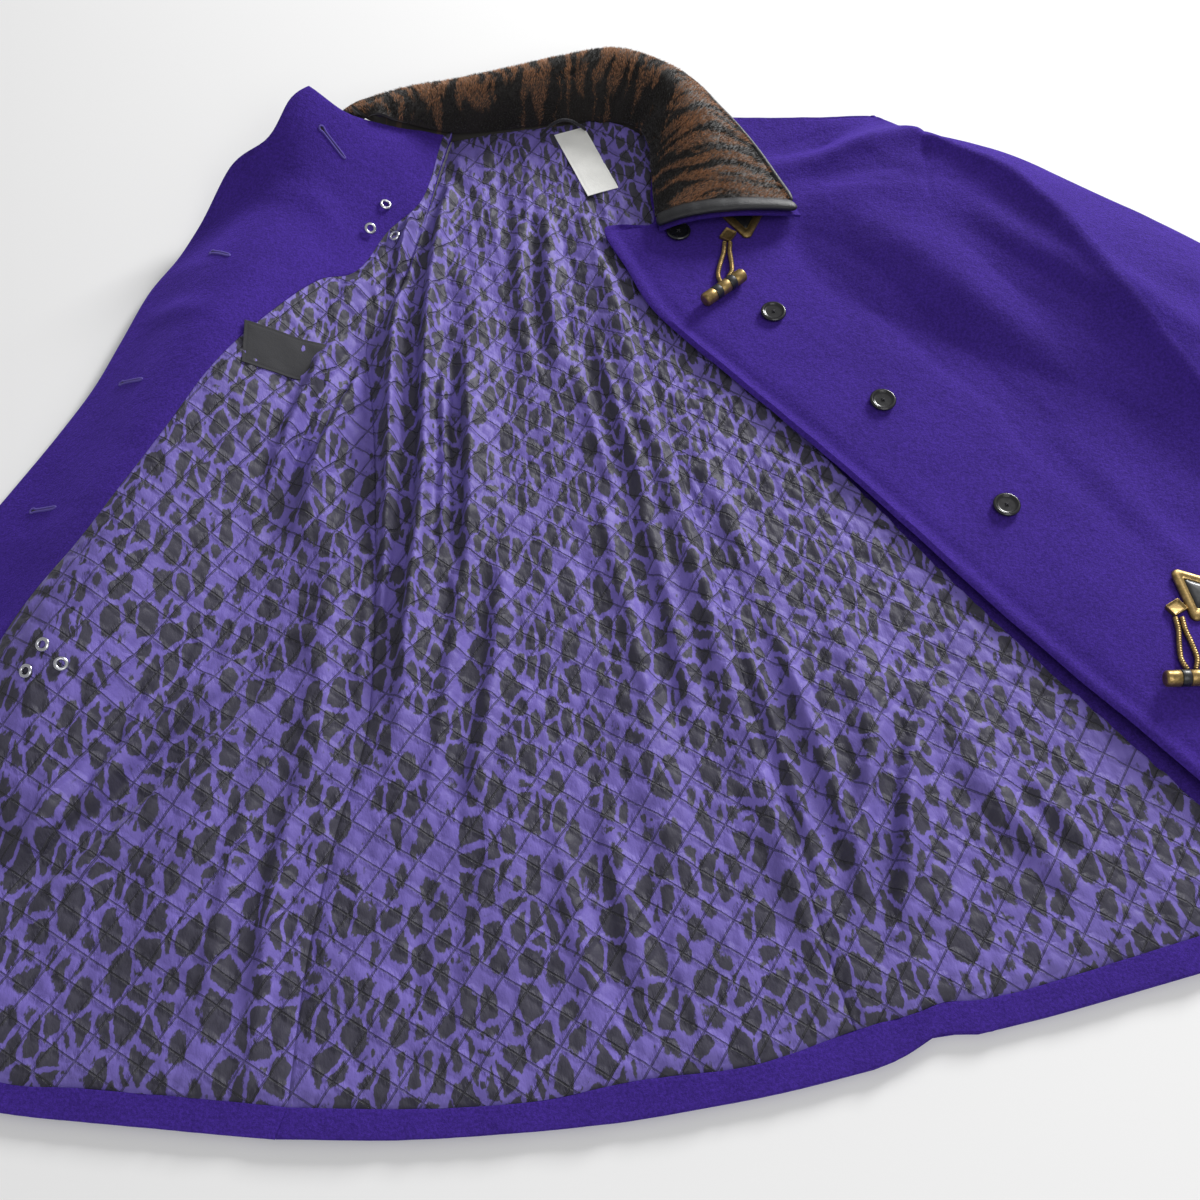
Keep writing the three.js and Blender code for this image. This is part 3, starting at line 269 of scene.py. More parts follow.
# Folds as soft ridges: start, end, width and height.
BACK_FOLDS = [
    (-164, 985, -180, 640, 15, 9), (-118, 905, -92, 560, 16, 8), (-140, 700, -150, 420, 18, 8),
    (-60, 1010, -42, 800, 14, 6), (-8, 975, 40, 740, 13, 9), (44, 740, 108, 460, 12, 11),
    (112, 450, 150, 300, 13, 9), (88, 700, 122, 600, 11, 6), (20, 520, 62, 330, 20, 6),
    (190, 540, 232, 330, 19, 8), (262, 480, 330, 340, 17, 6), (-60, 470, -70, 290, 20, 5),
]
RIGHT_FOLDS = [
    (-196, 930, -232, 860, 13, 10), (-232, 810, -238, 640, 16, 13), (-214, 640, -212, 430, 17, 9),
    (-290, 480, -300, 300, 24, 7), (-380, 330, -470, 280, 26, 5),
]
FRONT_FOLDS = [
    (215, 1040, 300, 1056, 24, 7), (180, 985, 330, 1015, 22, 5), (380, 600, 520, 440, 60, 8),
]

# Ridges and hollows along the left front's edges: height, distance from the edge and width.
FRONT_EDGE_SHAPE = [(2.2, 0, 7), (-1.5, 16, 8)]
FOLDED_EDGE_SHAPE = [(8, 8, 10), (-2.5, 42, 18)]

# Sections of the left front: front edge x, y, folded edge x, y, turned under, on the sleeve.
LEFT_FRONT = [
    (96, 1108, 268, 1108, 14, 0), (70, 1094, 282, 1092, 14, 0.5), (54, 1062, 306, 1056, 18, 1),
    (48, 1008, 372, 1002, 30, 1), (48, 969, 414, 948, 36, 1), (5, 962, 428, 920, 40, 1),
    (24, 915, 450, 880, 44, 1), (54, 857, 480, 820, 50, 1), (134, 768, 528, 740, 60, 1),
    (214, 678, 590, 668, 84, 1), (308, 564, 660, 592, 130, 1), (400, 458, 725, 505, 170, 1),
    (470, 380, 770, 430, 195, 1), (520, 322, 795, 380, 205, 1),
]

# Sections of the collar: neck seam, roll and outer edge, each x, y, z.
COLLAR = [
    (-236, 1076, 32, -239, 1082, 38, -244, 1092, 30),
    (-212, 1068, 55, -219, 1077, 55, -226, 1090, 44),
    (-193, 1073, 44, -196, 1093, 51, -203, 1114, 32),
    (-166, 1083, 27, -167, 1106, 47, -174, 1136, 20),
    (-138, 1090, 16, -137, 1112, 47, -141, 1148, 14),
    (-96, 1101, 10, -96, 1124, 47, -100, 1164, 10),
    (-40, 1110, 10, -38, 1138, 51, -34, 1184, 9),
    (4, 1113, 10, 14, 1147, 53, 22, 1190, 9),
    (38, 1100, 12, 58, 1120, 53, 78, 1148, 12),
    (49, 1064, 4, 82, 1084, 50, 116, 1102, 8),
    (51, 1034, 4, 92, 1048, 46, 145, 1058, 5),
    (52, 998, 4, 98, 1004, 40, 168, 1010, 5),
    (53, 956, 5, 104, 960, 36, 184, 968, 9),
]
COLLAR_ON_FRONT = 40.0
TIP_BINDING = 0.4
FUR_ACROSS = 0.955
COLLAR_WIDE = 0.1
PILE_LEVEL = 4.2
PILE_THICK = 3.6
HAIR_ROOT = 3.0
STAND_FROM = 0.35
STAND_RUN = 7.75

BUTTONS = [(72, 957), (153, 860), (240, 762), (330, 655)]
BUTTON_PROFILE = [
    (0, 0), (8.1, 0), (10.4, 1.2), (11.25, 2.6), (11.1, 3.7), (10.3, 4.4), (9.3, 4.5),
    (8.5, 4.1), (8.0, 3.5), (7.2, 3.2), (4.5, 3.15), (0, 3.15),
]
BUTTON_SPREAD = 2.6
BUTTONHOLES = [(-244, 1025, -41), (-334, 902, -38), (-394, 769, -23), (-450, 650, -15)]
BUTTONHOLE_LONG = 25.0
EYELETS = [(-198, 986), (-210, 957), (-188, 951), (-415, 511), (-400, 497), (-425, 491)]
EYELET_PROFILE = [
    (2.8, 0.1), (5.5, 0.1), (5.6, 0.4), (5.2, 1.0), (4.4, 1.5), (3.6, 1.5), (3.0, 1.1), (2.75, 0.5),
]
# Each toggle: plate x, y and turn, link x, y, bar x, y and turn.
TOGGLES = [
    (132, 975, 186, 117, 951, 110, 884, 41), (468, 570, 160, 446, 556, 446, 492, 2),
]
PLATE_SIDE = 46.0
PLATE_CORNER = 5.0
CHAIN_ACROSS = 4.4
CHAIN_SPREAD = [(0, 2.6), (0.25, 2.7), (0.5, 4.6), (0.8, 6), (1, 3.2)]
LINK_LONG = 13.0
LINK_WIDE = 11.0
LINK_THICK = 4.2
BAR_ACROSS = 12.6
BAR_LONG = 48.0
BAND = 7.0
SEAT = 0.4

LABEL = {"x": -30, "y": 1097, "wide": 31, "long": 88, "turn": 22, "thick": 0.7}
PATCH = {"x": -266, "y": 800, "wide": 68, "long": 41, "turn": 2, "thick": 1.0}
HANGER = {"from": (-57, 1090), "to": (-14, 1097), "rise": 18, "across": 3.0}


def linear(red, green, blue):
    """An sRGB colour of 0 to 255 as the linear colour that the shaders take."""
    def channel(value):
        share = value / 255
        return share / 12.92 if share <= 0.04045 else ((share + 0.055) / 1.055) ** 2.4
    return (channel(red), channel(green), channel(blue))


class CoatSizes(bpy.types.PropertyGroup):
    """Sizes of the coat's finish that a user would change."""
    quilt_lines: FloatProperty(
        name="Quilting", description="Distance between the rows of quilting stitches",
        default=0.0195, min=0.01, max=0.05, unit="LENGTH")
    quilt_puff: FloatProperty(
        name="Quilting height", description="How far the padding stands between the stitches",
        default=0.0028, min=0.0, max=0.006, unit="LENGTH")
    lining_step: FloatProperty(
        name="Lining detail", description="Distance between the points of the lining",
        default=0.0031, min=0.002, max=0.02, unit="LENGTH")
    wool_step: FloatProperty(
        name="Wool detail", description="Distance between the points of the wool",
        default=0.008, min=0.003, max=0.03, unit="LENGTH")
    fur_length: FloatProperty(
        name="Fur length", description="Length of the hairs of the collar",
        default=0.0065, min=0.002, max=0.02, unit="LENGTH")
    fur_hairs: IntProperty(
        name="Fur hairs", description="Number of hairs on the collar",
        default=44000, min=100, max=60000)


class CoatColours(bpy.types.PropertyGroup):
    """Colours of the coat's cloth and trim."""
    wool: FloatVectorProperty(
        name="Wool", description="Colour of the wool", subtype="COLOR", size=3,
        default=linear(58, 36, 126), min=0, max=1)
    ground: FloatVectorProperty(
        name="Lining ground", description="Ground colour of the lining", subtype="COLOR", size=3,
        default=linear(108, 94, 172), min=0, max=1)
    spots: FloatVectorProperty(
        name="Lining spots", description="Colour of the lining's spots", subtype="COLOR", size=3,
        default=linear(50, 50, 51), min=0, max=1)
    fur: FloatVectorProperty(
        name="Fur", description="Ground colour of the fur", subtype="COLOR", size=3,
        default=linear(158, 112, 78), min=0, max=1)
    stripes: FloatVectorProperty(
        name="Fur stripes", description="Colour of the fur's stripes", subtype="COLOR", size=3,
        default=linear(24, 19, 15), min=0, max=1)
    gold: FloatVectorProperty(
        name="Toggles", description="Colour of the toggles' metal", subtype="COLOR", size=3,
        default=linear(176, 148, 96), min=0, max=1)


def sizes():
    return bpy.context.scene.coat_sizes


def colours():
    return bpy.context.scene.coat_colours


# Finer and coarser faces than a cloth's own step, and the ease of the cut of each cloth.
FINE = 0.7
COARSE = 2
WOOL_EASE = 1.04
LINING_EASE = 1.06

# A lining runs softly into its lowest level, this sharply and this far over its under side.
LOWEST_BEND = 1.6
LOWEST_LEVEL = 0.15

# Curves and soft heights, on arrays of plan points in millimetres.

def spline(points, samples=24):
    """Points along a smooth curve through the given ones."""
    p = np.array(points, float)
    padded = np.vstack([2 * p[0] - p[1], p, 2 * p[-1] - p[-2]])
    t = np.linspace(0, 1, samples, endpoint=False)[:, None]
    runs = []
    for i in range(len(p) - 1):
        a, b, c, d = padded[i:i + 4]
        runs.append(0.5 * (2 * b + (c - a) * t + (2 * a - 5 * b + 4 * c - d) * t ** 2
                           + (3 * b - a - 3 * c + d) * t ** 3))
    return np.vstack([*runs, p[-1:]])


def runs_to(line):
    """Length of a line of points up to each of them."""
    return np.concatenate([[0], np.cumsum(np.linalg.norm(np.diff(line, axis=0), axis=1))])


def run_of(line):
    return np.linalg.norm(np.diff(line, axis=0), axis=1).sum()


def spaced(points, share):
    """The smooth curve's points at the given shares of its length."""
    line = spline(points)
    run = runs_to(line)
    at = np.asarray(share) * run[-1]
    return np.stack([np.interp(at, run, line[:, k]) for k in range(line.shape[1])], axis=-1)


def row_at(table, place):
    """The values of a table's columns at places between its rows, smooth from row to row."""
    rows = np.array(table, float)
    place = np.clip(place, 0, len(rows) - 1)
    i = np.minimum(place.astype(int), len(rows) - 2)
    t = (place - i)[..., None]
    a, b, c, d = (rows[np.clip(i + k, 0, len(rows) - 1)] for k in (-1, 0, 1, 2))
    return 0.5 * (2 * b + (c - a) * t + (2 * a - 5 * b + 4 * c - d) * t ** 2
                  + (3 * b - a - 3 * c + d) * t ** 3)


def to_segment(x, y, x0, y0, x1, y1):
    """How far along a segment each plan point lies, from 0 to 1, and its distance from it."""
    dx, dy = x1 - x0, y1 - y0
    along = np.clip(((x - x0) * dx + (y - y0) * dy) / (dx * dx + dy * dy), 0, 1)
    return along, np.hypot(x - x0 - along * dx, y - y0 - along * dy)


def to_line(x, y, points):
    """Distance from plan points to a smooth line."""
    line = spline(points, 4)
    nearest = np.full(np.shape(x), 1e9)
    for (x0, y0), (x1, y1) in zip(line, line[1:]):
        nearest = np.minimum(nearest, to_segment(x, y, x0, y0, x1, y1)[1])
    return nearest


def spine_height(x, y, rows, hump):
    """Height of a limb whose rows give x, y, half width and height, with hump as its section."""
    height = np.zeros(np.shape(x))
    for a, b in zip(rows, rows[1:]):
        along, distance = to_segment(x, y, a[0], a[1], b[0], b[1])
        half = a[2] + (b[2] - a[2]) * along
        peak = a[3] + (b[3] - a[3]) * along
        height = np.maximum(height, np.where(distance < half, peak * hump(distance / half), 0))
    return height


def bell(distance, width):
    return np.exp(-(distance / width) ** 2)


def fold_height(x, y, folds):
    """Height of soft folds, each tallest at its middle."""
    height = np.zeros(np.shape(x))
    for x0, y0, x1, y1, width, tall in folds:
        along, distance = to_segment(x, y, x0, y0, x1, y1)
        height = height + tall * np.sin(np.pi * (0.15 + 0.7 * along)) * bell(distance, width)
    return height


def edge_height(away, rows):
    """Height of ridges that run along an edge, at a distance from it."""
    return sum(tall * bell(away - at, width) for tall, at, width in rows)


def soft_hump(r):
    return 0.5 * (1 + np.cos(np.pi * r))


def dome_hump(r):
    return 1 - r * r


def smoothstep(value, low, high):
    t = np.clip((value - low) / (high - low), 0, 1)
    return t * t * (3 - 2 * t)


def wander(x, y, seed):
    """Smooth uneven values from -1 to 1 over the plan, one cell a unit wide."""
    xi, yi = np.floor(x), np.floor(y)
    u, v = x - xi, y - yi
    u, v = u * u * (3 - 2 * u), v * v * (3 - 2 * v)

    def corner(i, j):
        value = np.sin((xi + i) * 127.1 + (yi + j) * 311.7 + seed * 74.7) * 43758.5453
        return 2 * (value - np.floor(value)) - 1

    low = corner(0, 0) * (1 - u) + corner(1, 0) * u
    high = corner(0, 1) * (1 - u) + corner(1, 1) * u
    return low * (1 - v) + high * v


def under_right_front(x, y):
    sleeve = spine_height(x, y, RIGHT_SLEEVE, soft_hump)
    m = SHOULDER_MOUND
    away = (x - m["x"]) ** 2 + (y - m["y"]) ** 2
    mound = m["height"] * np.exp(-away / (2 * m["spread"] ** 2))
    return np.cbrt(sleeve ** 3 + mound ** 3)


def right_front_height(x, y):
    """Level that the turned-open right front lies on."""
    return under_right_front(x, y) + fold_height(x, y, RIGHT_FOLDS)


def back_fold_height(x, y):
    return fold_height(x, y, BACK_FOLDS)


def left_sleeve_top(x, y):
    return np.maximum(SLEEVE_EDGE, spine_height(x, y, LEFT_SLEEVE, dome_hump))


def left_front_under(x, y):
    """Level that the left front lies on, over the back and the sleeve."""
    sleeve = left_sleeve_top(x, y) + FRONT_CLEAR
    body = FRONT_LEVEL + back_fold_height(x, y)
    return (sleeve ** 4 + body ** 4) ** 0.25 + fold_height(x, y, FRONT_FOLDS)


def front_top(x, y):
    return left_front_under(x, y) + FRONT_CLOTH


def facing_top(x, y):
    return right_lining_level(x, y) + FACING


def back_lining_level(x, y):
    return LINING_LEVEL + back_fold_height(x, y)


def right_lining_level(x, y):
    return LINING_LEVEL + right_front_height(x, y)


def flat_wool(x, y):
    return np.full(np.shape(x), WOOL)


def to_grain(x, y):
    """Plan points in the coat's own grain: across it and down it."""
    cos, sin = math.cos(GRAIN_LEAN), math.sin(GRAIN_LEAN)
    dx, dy = x - GRAIN_AT[0], y - GRAIN_AT[1]
    return dx * cos + dy * sin, dx * sin - dy * cos


# Meshes: grids of bmesh faces laid on those heights.

def finished(name, bm, material, smooth=True):
    """Makes the bmesh an object at the origin."""
    mesh = bpy.data.meshes.new(name)
    bm.to_mesh(mesh)
    bm.free()
    for polygon in mesh.polygons:
        polygon.use_smooth = smooth
    mesh.materials.append(material)
    piece = bpy.data.objects.new(name, mesh)
    bpy.context.scene.collection.objects.link(piece)
    return piece


def grid(name, across, down, place, material, maps=None):
    """A sheet of across by down faces. place gives each point from its shares across and down,
    and maps gives the values of each UV map there."""
    bm = bmesh.new()
    bmesh.ops.create_grid(bm, x_segments=across, y_segments=down, size=1.0)
    piece = finished(name, bm, material)
    mesh = piece.data
    co = np.zeros(len(mesh.vertices) * 3, np.float32)
    mesh.vertices.foreach_get("co", co)
    s = (co[0::3].astype(float) + 1) / 2
    t = (1 - co[1::3].astype(float)) / 2
    points = place(s, t)
    mesh.vertices.foreach_set("co", ((points + SHIFT) * MM).astype(np.float32).ravel())
    corners = np.zeros(len(mesh.loops), np.int32)
    mesh.loops.foreach_get("vertex_index", corners)
    for map_name, values in (maps(s, t, points) if maps else {}).items():
        layer = mesh.uv_layers.new(name=map_name)
        layer.data.foreach_set("uv", values[corners].astype(np.float32).ravel())
    mesh.update()
    return piece


def patch_between(left, right, top, bottom):
    """Plan points of a panel between four smooth edges, from its shares across and down."""
    def place(s, t):
        a, b = spaced(left, t), spaced(right, t)
        c, d = spaced(top, s), spaced(bottom, s)
        s, t = s[:, None], t[:, None]
        corners = ((1 - s) * (1 - t) * c[np.argmin(s[:, 0])] + s * (1 - t) * c[np.argmax(s[:, 0])]
                   + (1 - s) * t * d[np.argmin(s[:, 0])] + s * t * d[np.argmax(s[:, 0])])
        return (1 - s) * a + s * b + (1 - t) * c + t * d - corners
    return place


def thicken(piece, thickness, rim=0.0):
    """Gives a sheet its thickness, below its face, and rounds its rim."""
    solidify = piece.modifiers.new("Thickness", "SOLIDIFY")
    solidify.thickness = thickness * MM
    solidify.offset = -1
    if rim > 0:
        bevel = piece.modifiers.new("Rim", "BEVEL")
        bevel.width = rim * MM
        bevel.segments = 3
        bevel.limit_method = "ANGLE"
        bevel.angle_limit = math.radians(50)
    return piece


def declare_sheet(piece, edges, held, rests_on, fullness=WOOL_EASE):
    """Declares a sheet by its cut: the panel between its four edges, eased by its fullness."""
    left, right, top, bottom = edges
    share = np.linspace(0, 1, 60)
    a, b = spaced(left, share), spaced(right, share)
    c, d = spaced(top, share), spaced(bottom, share)
    width = max(np.linalg.norm(b - a, axis=1).max(), run_of(c), run_of(d)) * MM * fullness
    length = max(run_of((a + b) / 2), np.linalg.norm(d - c, axis=1).mean()) * MM * fullness
    line = np.vstack([a, d, b[::-1], c[::-1]])
    after = np.roll(line, -1, axis=0)
    area = abs(np.sum(line[:, 0] * after[:, 1] - after[:, 0] * line[:, 1])) / 2
    area = min(area * MM * MM * fullness ** 2, width * length)
    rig.sheet(piece, flat=(width, length), held=held, rests_on=rests_on, area=area)


def dress(piece, slot, *nodes):
    """Gives a piece its slot and body, and hides the solids it stands for."""
    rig.slot(piece, slot)
    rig.ride(piece, "root")
    if nodes:
        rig.replaces(piece, *nodes)
    return piece


def faces_along(points, step):
    return max(2, round(run_of(spline(points)) * MM / step))


def surface(name, around, along, place, material):
    """A closed surface: a sheet whose seam and ends are joined where they meet."""
    piece = grid(name, around, along, place, material)
    bm = bmesh.new()
    bm.from_mesh(piece.data)
    bmesh.ops.remove_doubles(bm, verts=bm.verts, dist=2e-6)
    bmesh.ops.recalc_face_normals(bm, faces=bm.faces)
    bm.to_mesh(piece.data)
    bm.free()
    piece.data.update()
    return piece


# Small creases of the cloth: start, end, width and height, below zero for a trough.
LINING_CREASES = [
    (-157, 1012, -171, 843, 7, -4), (-171, 843, -162, 644, 6, -4), (-162, 644, -163, 440, 7, -3),
    (-220, 798, -265, 634, 7, -4), (-257, 508, -343, 409, 8, -3), (-343, 409, -420, 322, 9, -3),
    (-129, 820, -113, 606, 5, -3), (-112, 780, -98, 640, 4, 2), (78, 569, 79, 482, 5, -3),
    (226, 482, 193, 290, 7, -4), (-143, 606, -139, 533, 5, -3), (-162, 1065, -122, 1012, 7, -4),
    (-96, 1060, -84, 940, 6, -3), (-70, 1040, -66, 900, 4, 2), (-40, 900, -10, 760, 5, -3),
    (-20, 640, 14, 500, 6, -3), (60, 700, 92, 560, 4, 3), (120, 480, 148, 350, 5, -3),
    (-120, 400, -128, 250, 7, -3), (-80, 380, -96, 220, 6, 3), (30, 330, 60, 230, 6, -3),
    (-330, 620, -352, 520, 7, -3), (-300, 560, -330, 450, 6, 3), (-420, 420, -500, 300, 7, -3),
    (-250, 420, -262, 240, 7, -3), (-225, 330, -232, 210, 5, 3), (260, 420, 330, 320, 7, -3),
    (-250, 760, -262, 700, 5, 2), (-190, 780, -188, 660, 4, 3), (-205, 560, -200, 450, 5, -2),
]
# Deep valleys of the lining, each with the ridges that it lies between: line, width and depth.
VALLEYS = [
    ([(-150, 1050), (-160, 985), (-166, 843), (-160, 700), (-161, 600), (-166, 470)], 7, 9),
    ([(-205, 850), (-232, 760), (-262, 640)], 8, 8),
    ([(-250, 520), (-343, 409), (-430, 315)], 10, 6),
    ([(-128, 830), (-118, 690), (-116, 590)], 5, 5), ([(-90, 640), (-98, 500), (-112, 380)], 8, 4),
    ([(-62, 1010), (-58, 900), (-44, 780)], 7, 4), ([(10, 700), (40, 560), (60, 440)], 8, 4),
    ([(118, 560), (150, 440), (176, 330)], 7, 5), ([(226, 482), (206, 380), (196, 292)], 8, 5),
    ([(-20, 420), (0, 320), (20, 230)], 9, 3), ([(-330, 560), (-372, 430), (-400, 330)], 8, 3),
    ([(-230, 450), (-246, 340), (-250, 220)], 8, 4), ([(-20, 860), (8, 740), (34, 640)], 6, 4),
    ([(290, 440), (330, 372), (360, 330)], 8, 3),
]
WOOL_CREASES = [
    (282, 1108, 302, 1072, 2.4, -2.2), (302, 1072, 300, 980, 2.8, -2.0),
    (304, 1066, 330, 1050, 3, 2.4), (306, 1058, 326, 1044, 2.6, 2.2),
    (303, 1046, 322, 1034, 3, 1.8),
    (146, 1036, 294, 1062, 13, 7), (160, 1062, 262, 1090, 12, -3), (196, 940, 372, 740, 16, -6),
    (236, 962, 424, 770, 19, 6), (300, 962, 452, 812, 17, -5), (350, 950, 470, 830, 14, 5),
    (380, 700, 560, 520, 20, 5), (350, 740, 440, 620, 15, -5), (450, 650, 620, 470, 20, -6),
    (520, 500, 620, 420, 22, 6), (390, 480, 470, 400, 20, 4), (210, 1014, 330, 1000, 12, -3),
    (430, 930, 520, 830, 11, 4), (500, 900, 600, 800, 13, -3.5), (570, 800, 660, 720, 13, 4),
    (600, 860, 650, 800, 10, 3), (680, 780, 720, 730, 9, -2.5), (560, 700, 620, 640, 14, -4),
    (470, 760, 560, 660, 15, 4), (640, 560, 700, 500, 18, -4),
]
FACING_CREASES = [
    (-300, 980, -240, 960, 12, 3), (-390, 850, -330, 830, 12, 3), (-420, 700, -380, 690, 10, -2),
    (-500, 540, -440, 520, 14, 3), (-560, 400, -510, 400, 14, -3), (-250, 1040, -215, 1000, 9, -3),
    (-270, 1000, -230, 930, 10, 3),
]


# Materials.

def add(tree, kind, inputs, **settings):
    """Adds a shader node, with its inputs set or linked, and gives its outputs."""
    made = tree.nodes.new("ShaderNode" + kind)
    for key, value in settings.items():
        setattr(made, key, value)
    for key, value in inputs.items():
        socket = made.inputs[key]
        if isinstance(value, bpy.types.NodeSocket):
            tree.links.new(value, socket)
        else:
            socket.default_value = value
    return made.outputs


def maths(tree, operation, *values, clamp=False):
    return add(tree, "Math", dict(enumerate(values)), operation=operation, use_clamp=clamp)[0]


def mix(tree, share, first, second):
    return add(tree, "Mix", {0: share, 6: first, 7: second}, data_type="RGBA")[2]


def noise(tree, vector, scale, detail=2.0, rough=0.5, distortion=0.0):
    return add(tree, "TexNoise", {
        "Vector": vector, "Scale": scale, "Detail": detail, "Roughness": rough,
        "Distortion": distortion,
    })[0]


def stretched(tree, vector, x, y, z=1.0):
    return add(tree, "Mapping", {"Vector": vector, "Scale": (x, y, z)})[0]


def ramp(tree, value, low, high):
    """Runs smoothly from 0 to 1 as the value goes from low to high."""
    return add(tree, "MapRange", {0: value, 1: low, 2: high, 3: 0.0, 4: 1.0},
               interpolation_type="SMOOTHSTEP")[0]


def rgba(colour, factor=1.0):
    return tuple(min(1, c * factor) for c in colour) + (1.0,)


def material(name, build):
    """The material of that name. On its first use build finishes its Principled shader."""
    made = bpy.data.materials.get(name)
    if made:
        return made
    made = bpy.data.materials.new(name)
    made.use_nodes = True
    tree = made.node_tree
    build(tree, tree.nodes["Principled BSDF"])
    return made


def set_inputs(tree, shader, **inputs):
    for key, value in inputs.items():
        socket = shader.inputs[key.replace("_", " ")]
        if isinstance(value, bpy.types.NodeSocket):
            tree.links.new(value, socket)
        else:
            socket.default_value = value


def swing(tree, value, reach):
    """Turns a value of 0 to 1 into one that swings about 0 by half the reach."""
    return maths(tree, "MULTIPLY", maths(tree, "SUBTRACT", value, 0.5), reach)


def moved(tree, vector, x, y=0.0):
    """Moves a pattern's place by values that may change over the surface."""
    shift = add(tree, "CombineXYZ", {0: x, 1: y})[0]
    return add(tree, "VectorMath", {0: vector, 1: shift}, operation="ADD")[0]


def bump(tree, height, distance, strength=1.0):
    return add(tree, "Bump", {"Height": height, "Distance": distance, "Strength": strength})[0]


def fine_weave(tree, given):
    """Small uneven height of a fine cloth."""
    nap = noise(tree, given["Place"], given["Scale"], 4, 0.7)
    clumps = noise(tree, given["Place"], maths(tree, "MULTIPLY", given["Scale"], 0.23), 2, 0.5)
    return maths(tree, "ADD", nap, clumps)


def soft_patches(tree, given):
    """Share from 0 to 1, in patches with soft edges."""
    spread = noise(tree, given["Place"], given["Scale"], given["Detail"], given["Raggedness"])
    return ramp(tree, spread, given["Low"], given["High"])


def dull_patches(tree, given):
    """Roughness between its least and its most, in small patches."""
    spread = noise(tree, given["Place"], given["Scale"], 3)
    between = {0: spread, 1: 0.0, 2: 1.0, 3: given["Least"], 4: given["Most"]}
    return add(tree, "MapRange", between)[0]


# The effects that several materials use: how each is made, its output and its inputs.
EFFECTS = {
    "Fine weave": (fine_weave, "Height", ["Scale"]),
    "Soft patches": (soft_patches, "Share", ["Scale", "Detail", "Raggedness", "Low", "High"]),
    "Dull patches": (dull_patches, "Roughness", ["Scale", "Least", "Most"]),
}


def effect_group(name):
    """The node group of an effect, made on its first use."""
    group = bpy.data.node_groups.get(name)
    if group:
        return group
    build, output, values = EFFECTS[name]
    group = bpy.data.node_groups.new(name, "ShaderNodeTree")
    group.interface.new_socket(name="Place", in_out="INPUT", socket_type="NodeSocketVector")
    for key in values:
        group.interface.new_socket(name=key, in_out="INPUT", socket_type="NodeSocketFloat")
    group.interface.new_socket(name=output, in_out="OUTPUT", socket_type="NodeSocketFloat")
    given = group.nodes.new("NodeGroupInput").outputs
    result = group.nodes.new("NodeGroupOutput")
    group.links.new(build(group, given), result.inputs[output])
    return group


def effect(tree, name, place, *values):
    """Places an effect in a material, with its own values, and gives its output."""
    made = tree.nodes.new("ShaderNodeGroup")
    made.node_tree = effect_group(name)
    tree.links.new(place, made.inputs["Place"])
    for key, value in zip(EFFECTS[name][2], values):
        made.inputs[key].default_value = value
    return made.outputs[0]


def object_place(tree):
    return add(tree, "TexCoord", {})["Object"]


def wool_material(name, darker=1.0):
    """Felted wool, clouded and flecked, with a soft sheen."""
    def build(tree, shader):
        place = object_place(tree)
        dyed = [rgba(colours().wool, share * darker) for share in (0.84, 1.1, 0.62, 1.7)]
        ground = mix(tree, effect(tree, "Soft patches", place, 16, 4, 0.6, 0.3, 0.7), *dyed[:2])
        flecks = mix(tree, effect(tree, "Soft patches", place, 460, 3, 0.75, 0.32, 0.7), *dyed[2:])
        colour = mix(tree, 0.5, ground, flecks)
        set_inputs(tree, shader, Base_Color=colour, Roughness=0.95, Sheen_Weight=0.6,
                   Sheen_Roughness=0.35, Sheen_Tint=rgba(colours().wool, 3.2),
                   Normal=bump(tree, effect(tree, "Fine weave", place, 560), 0.0014, 0.7))
        shader.inputs["Specular IOR Level"].default_value = 0.15
    return material(name, build)


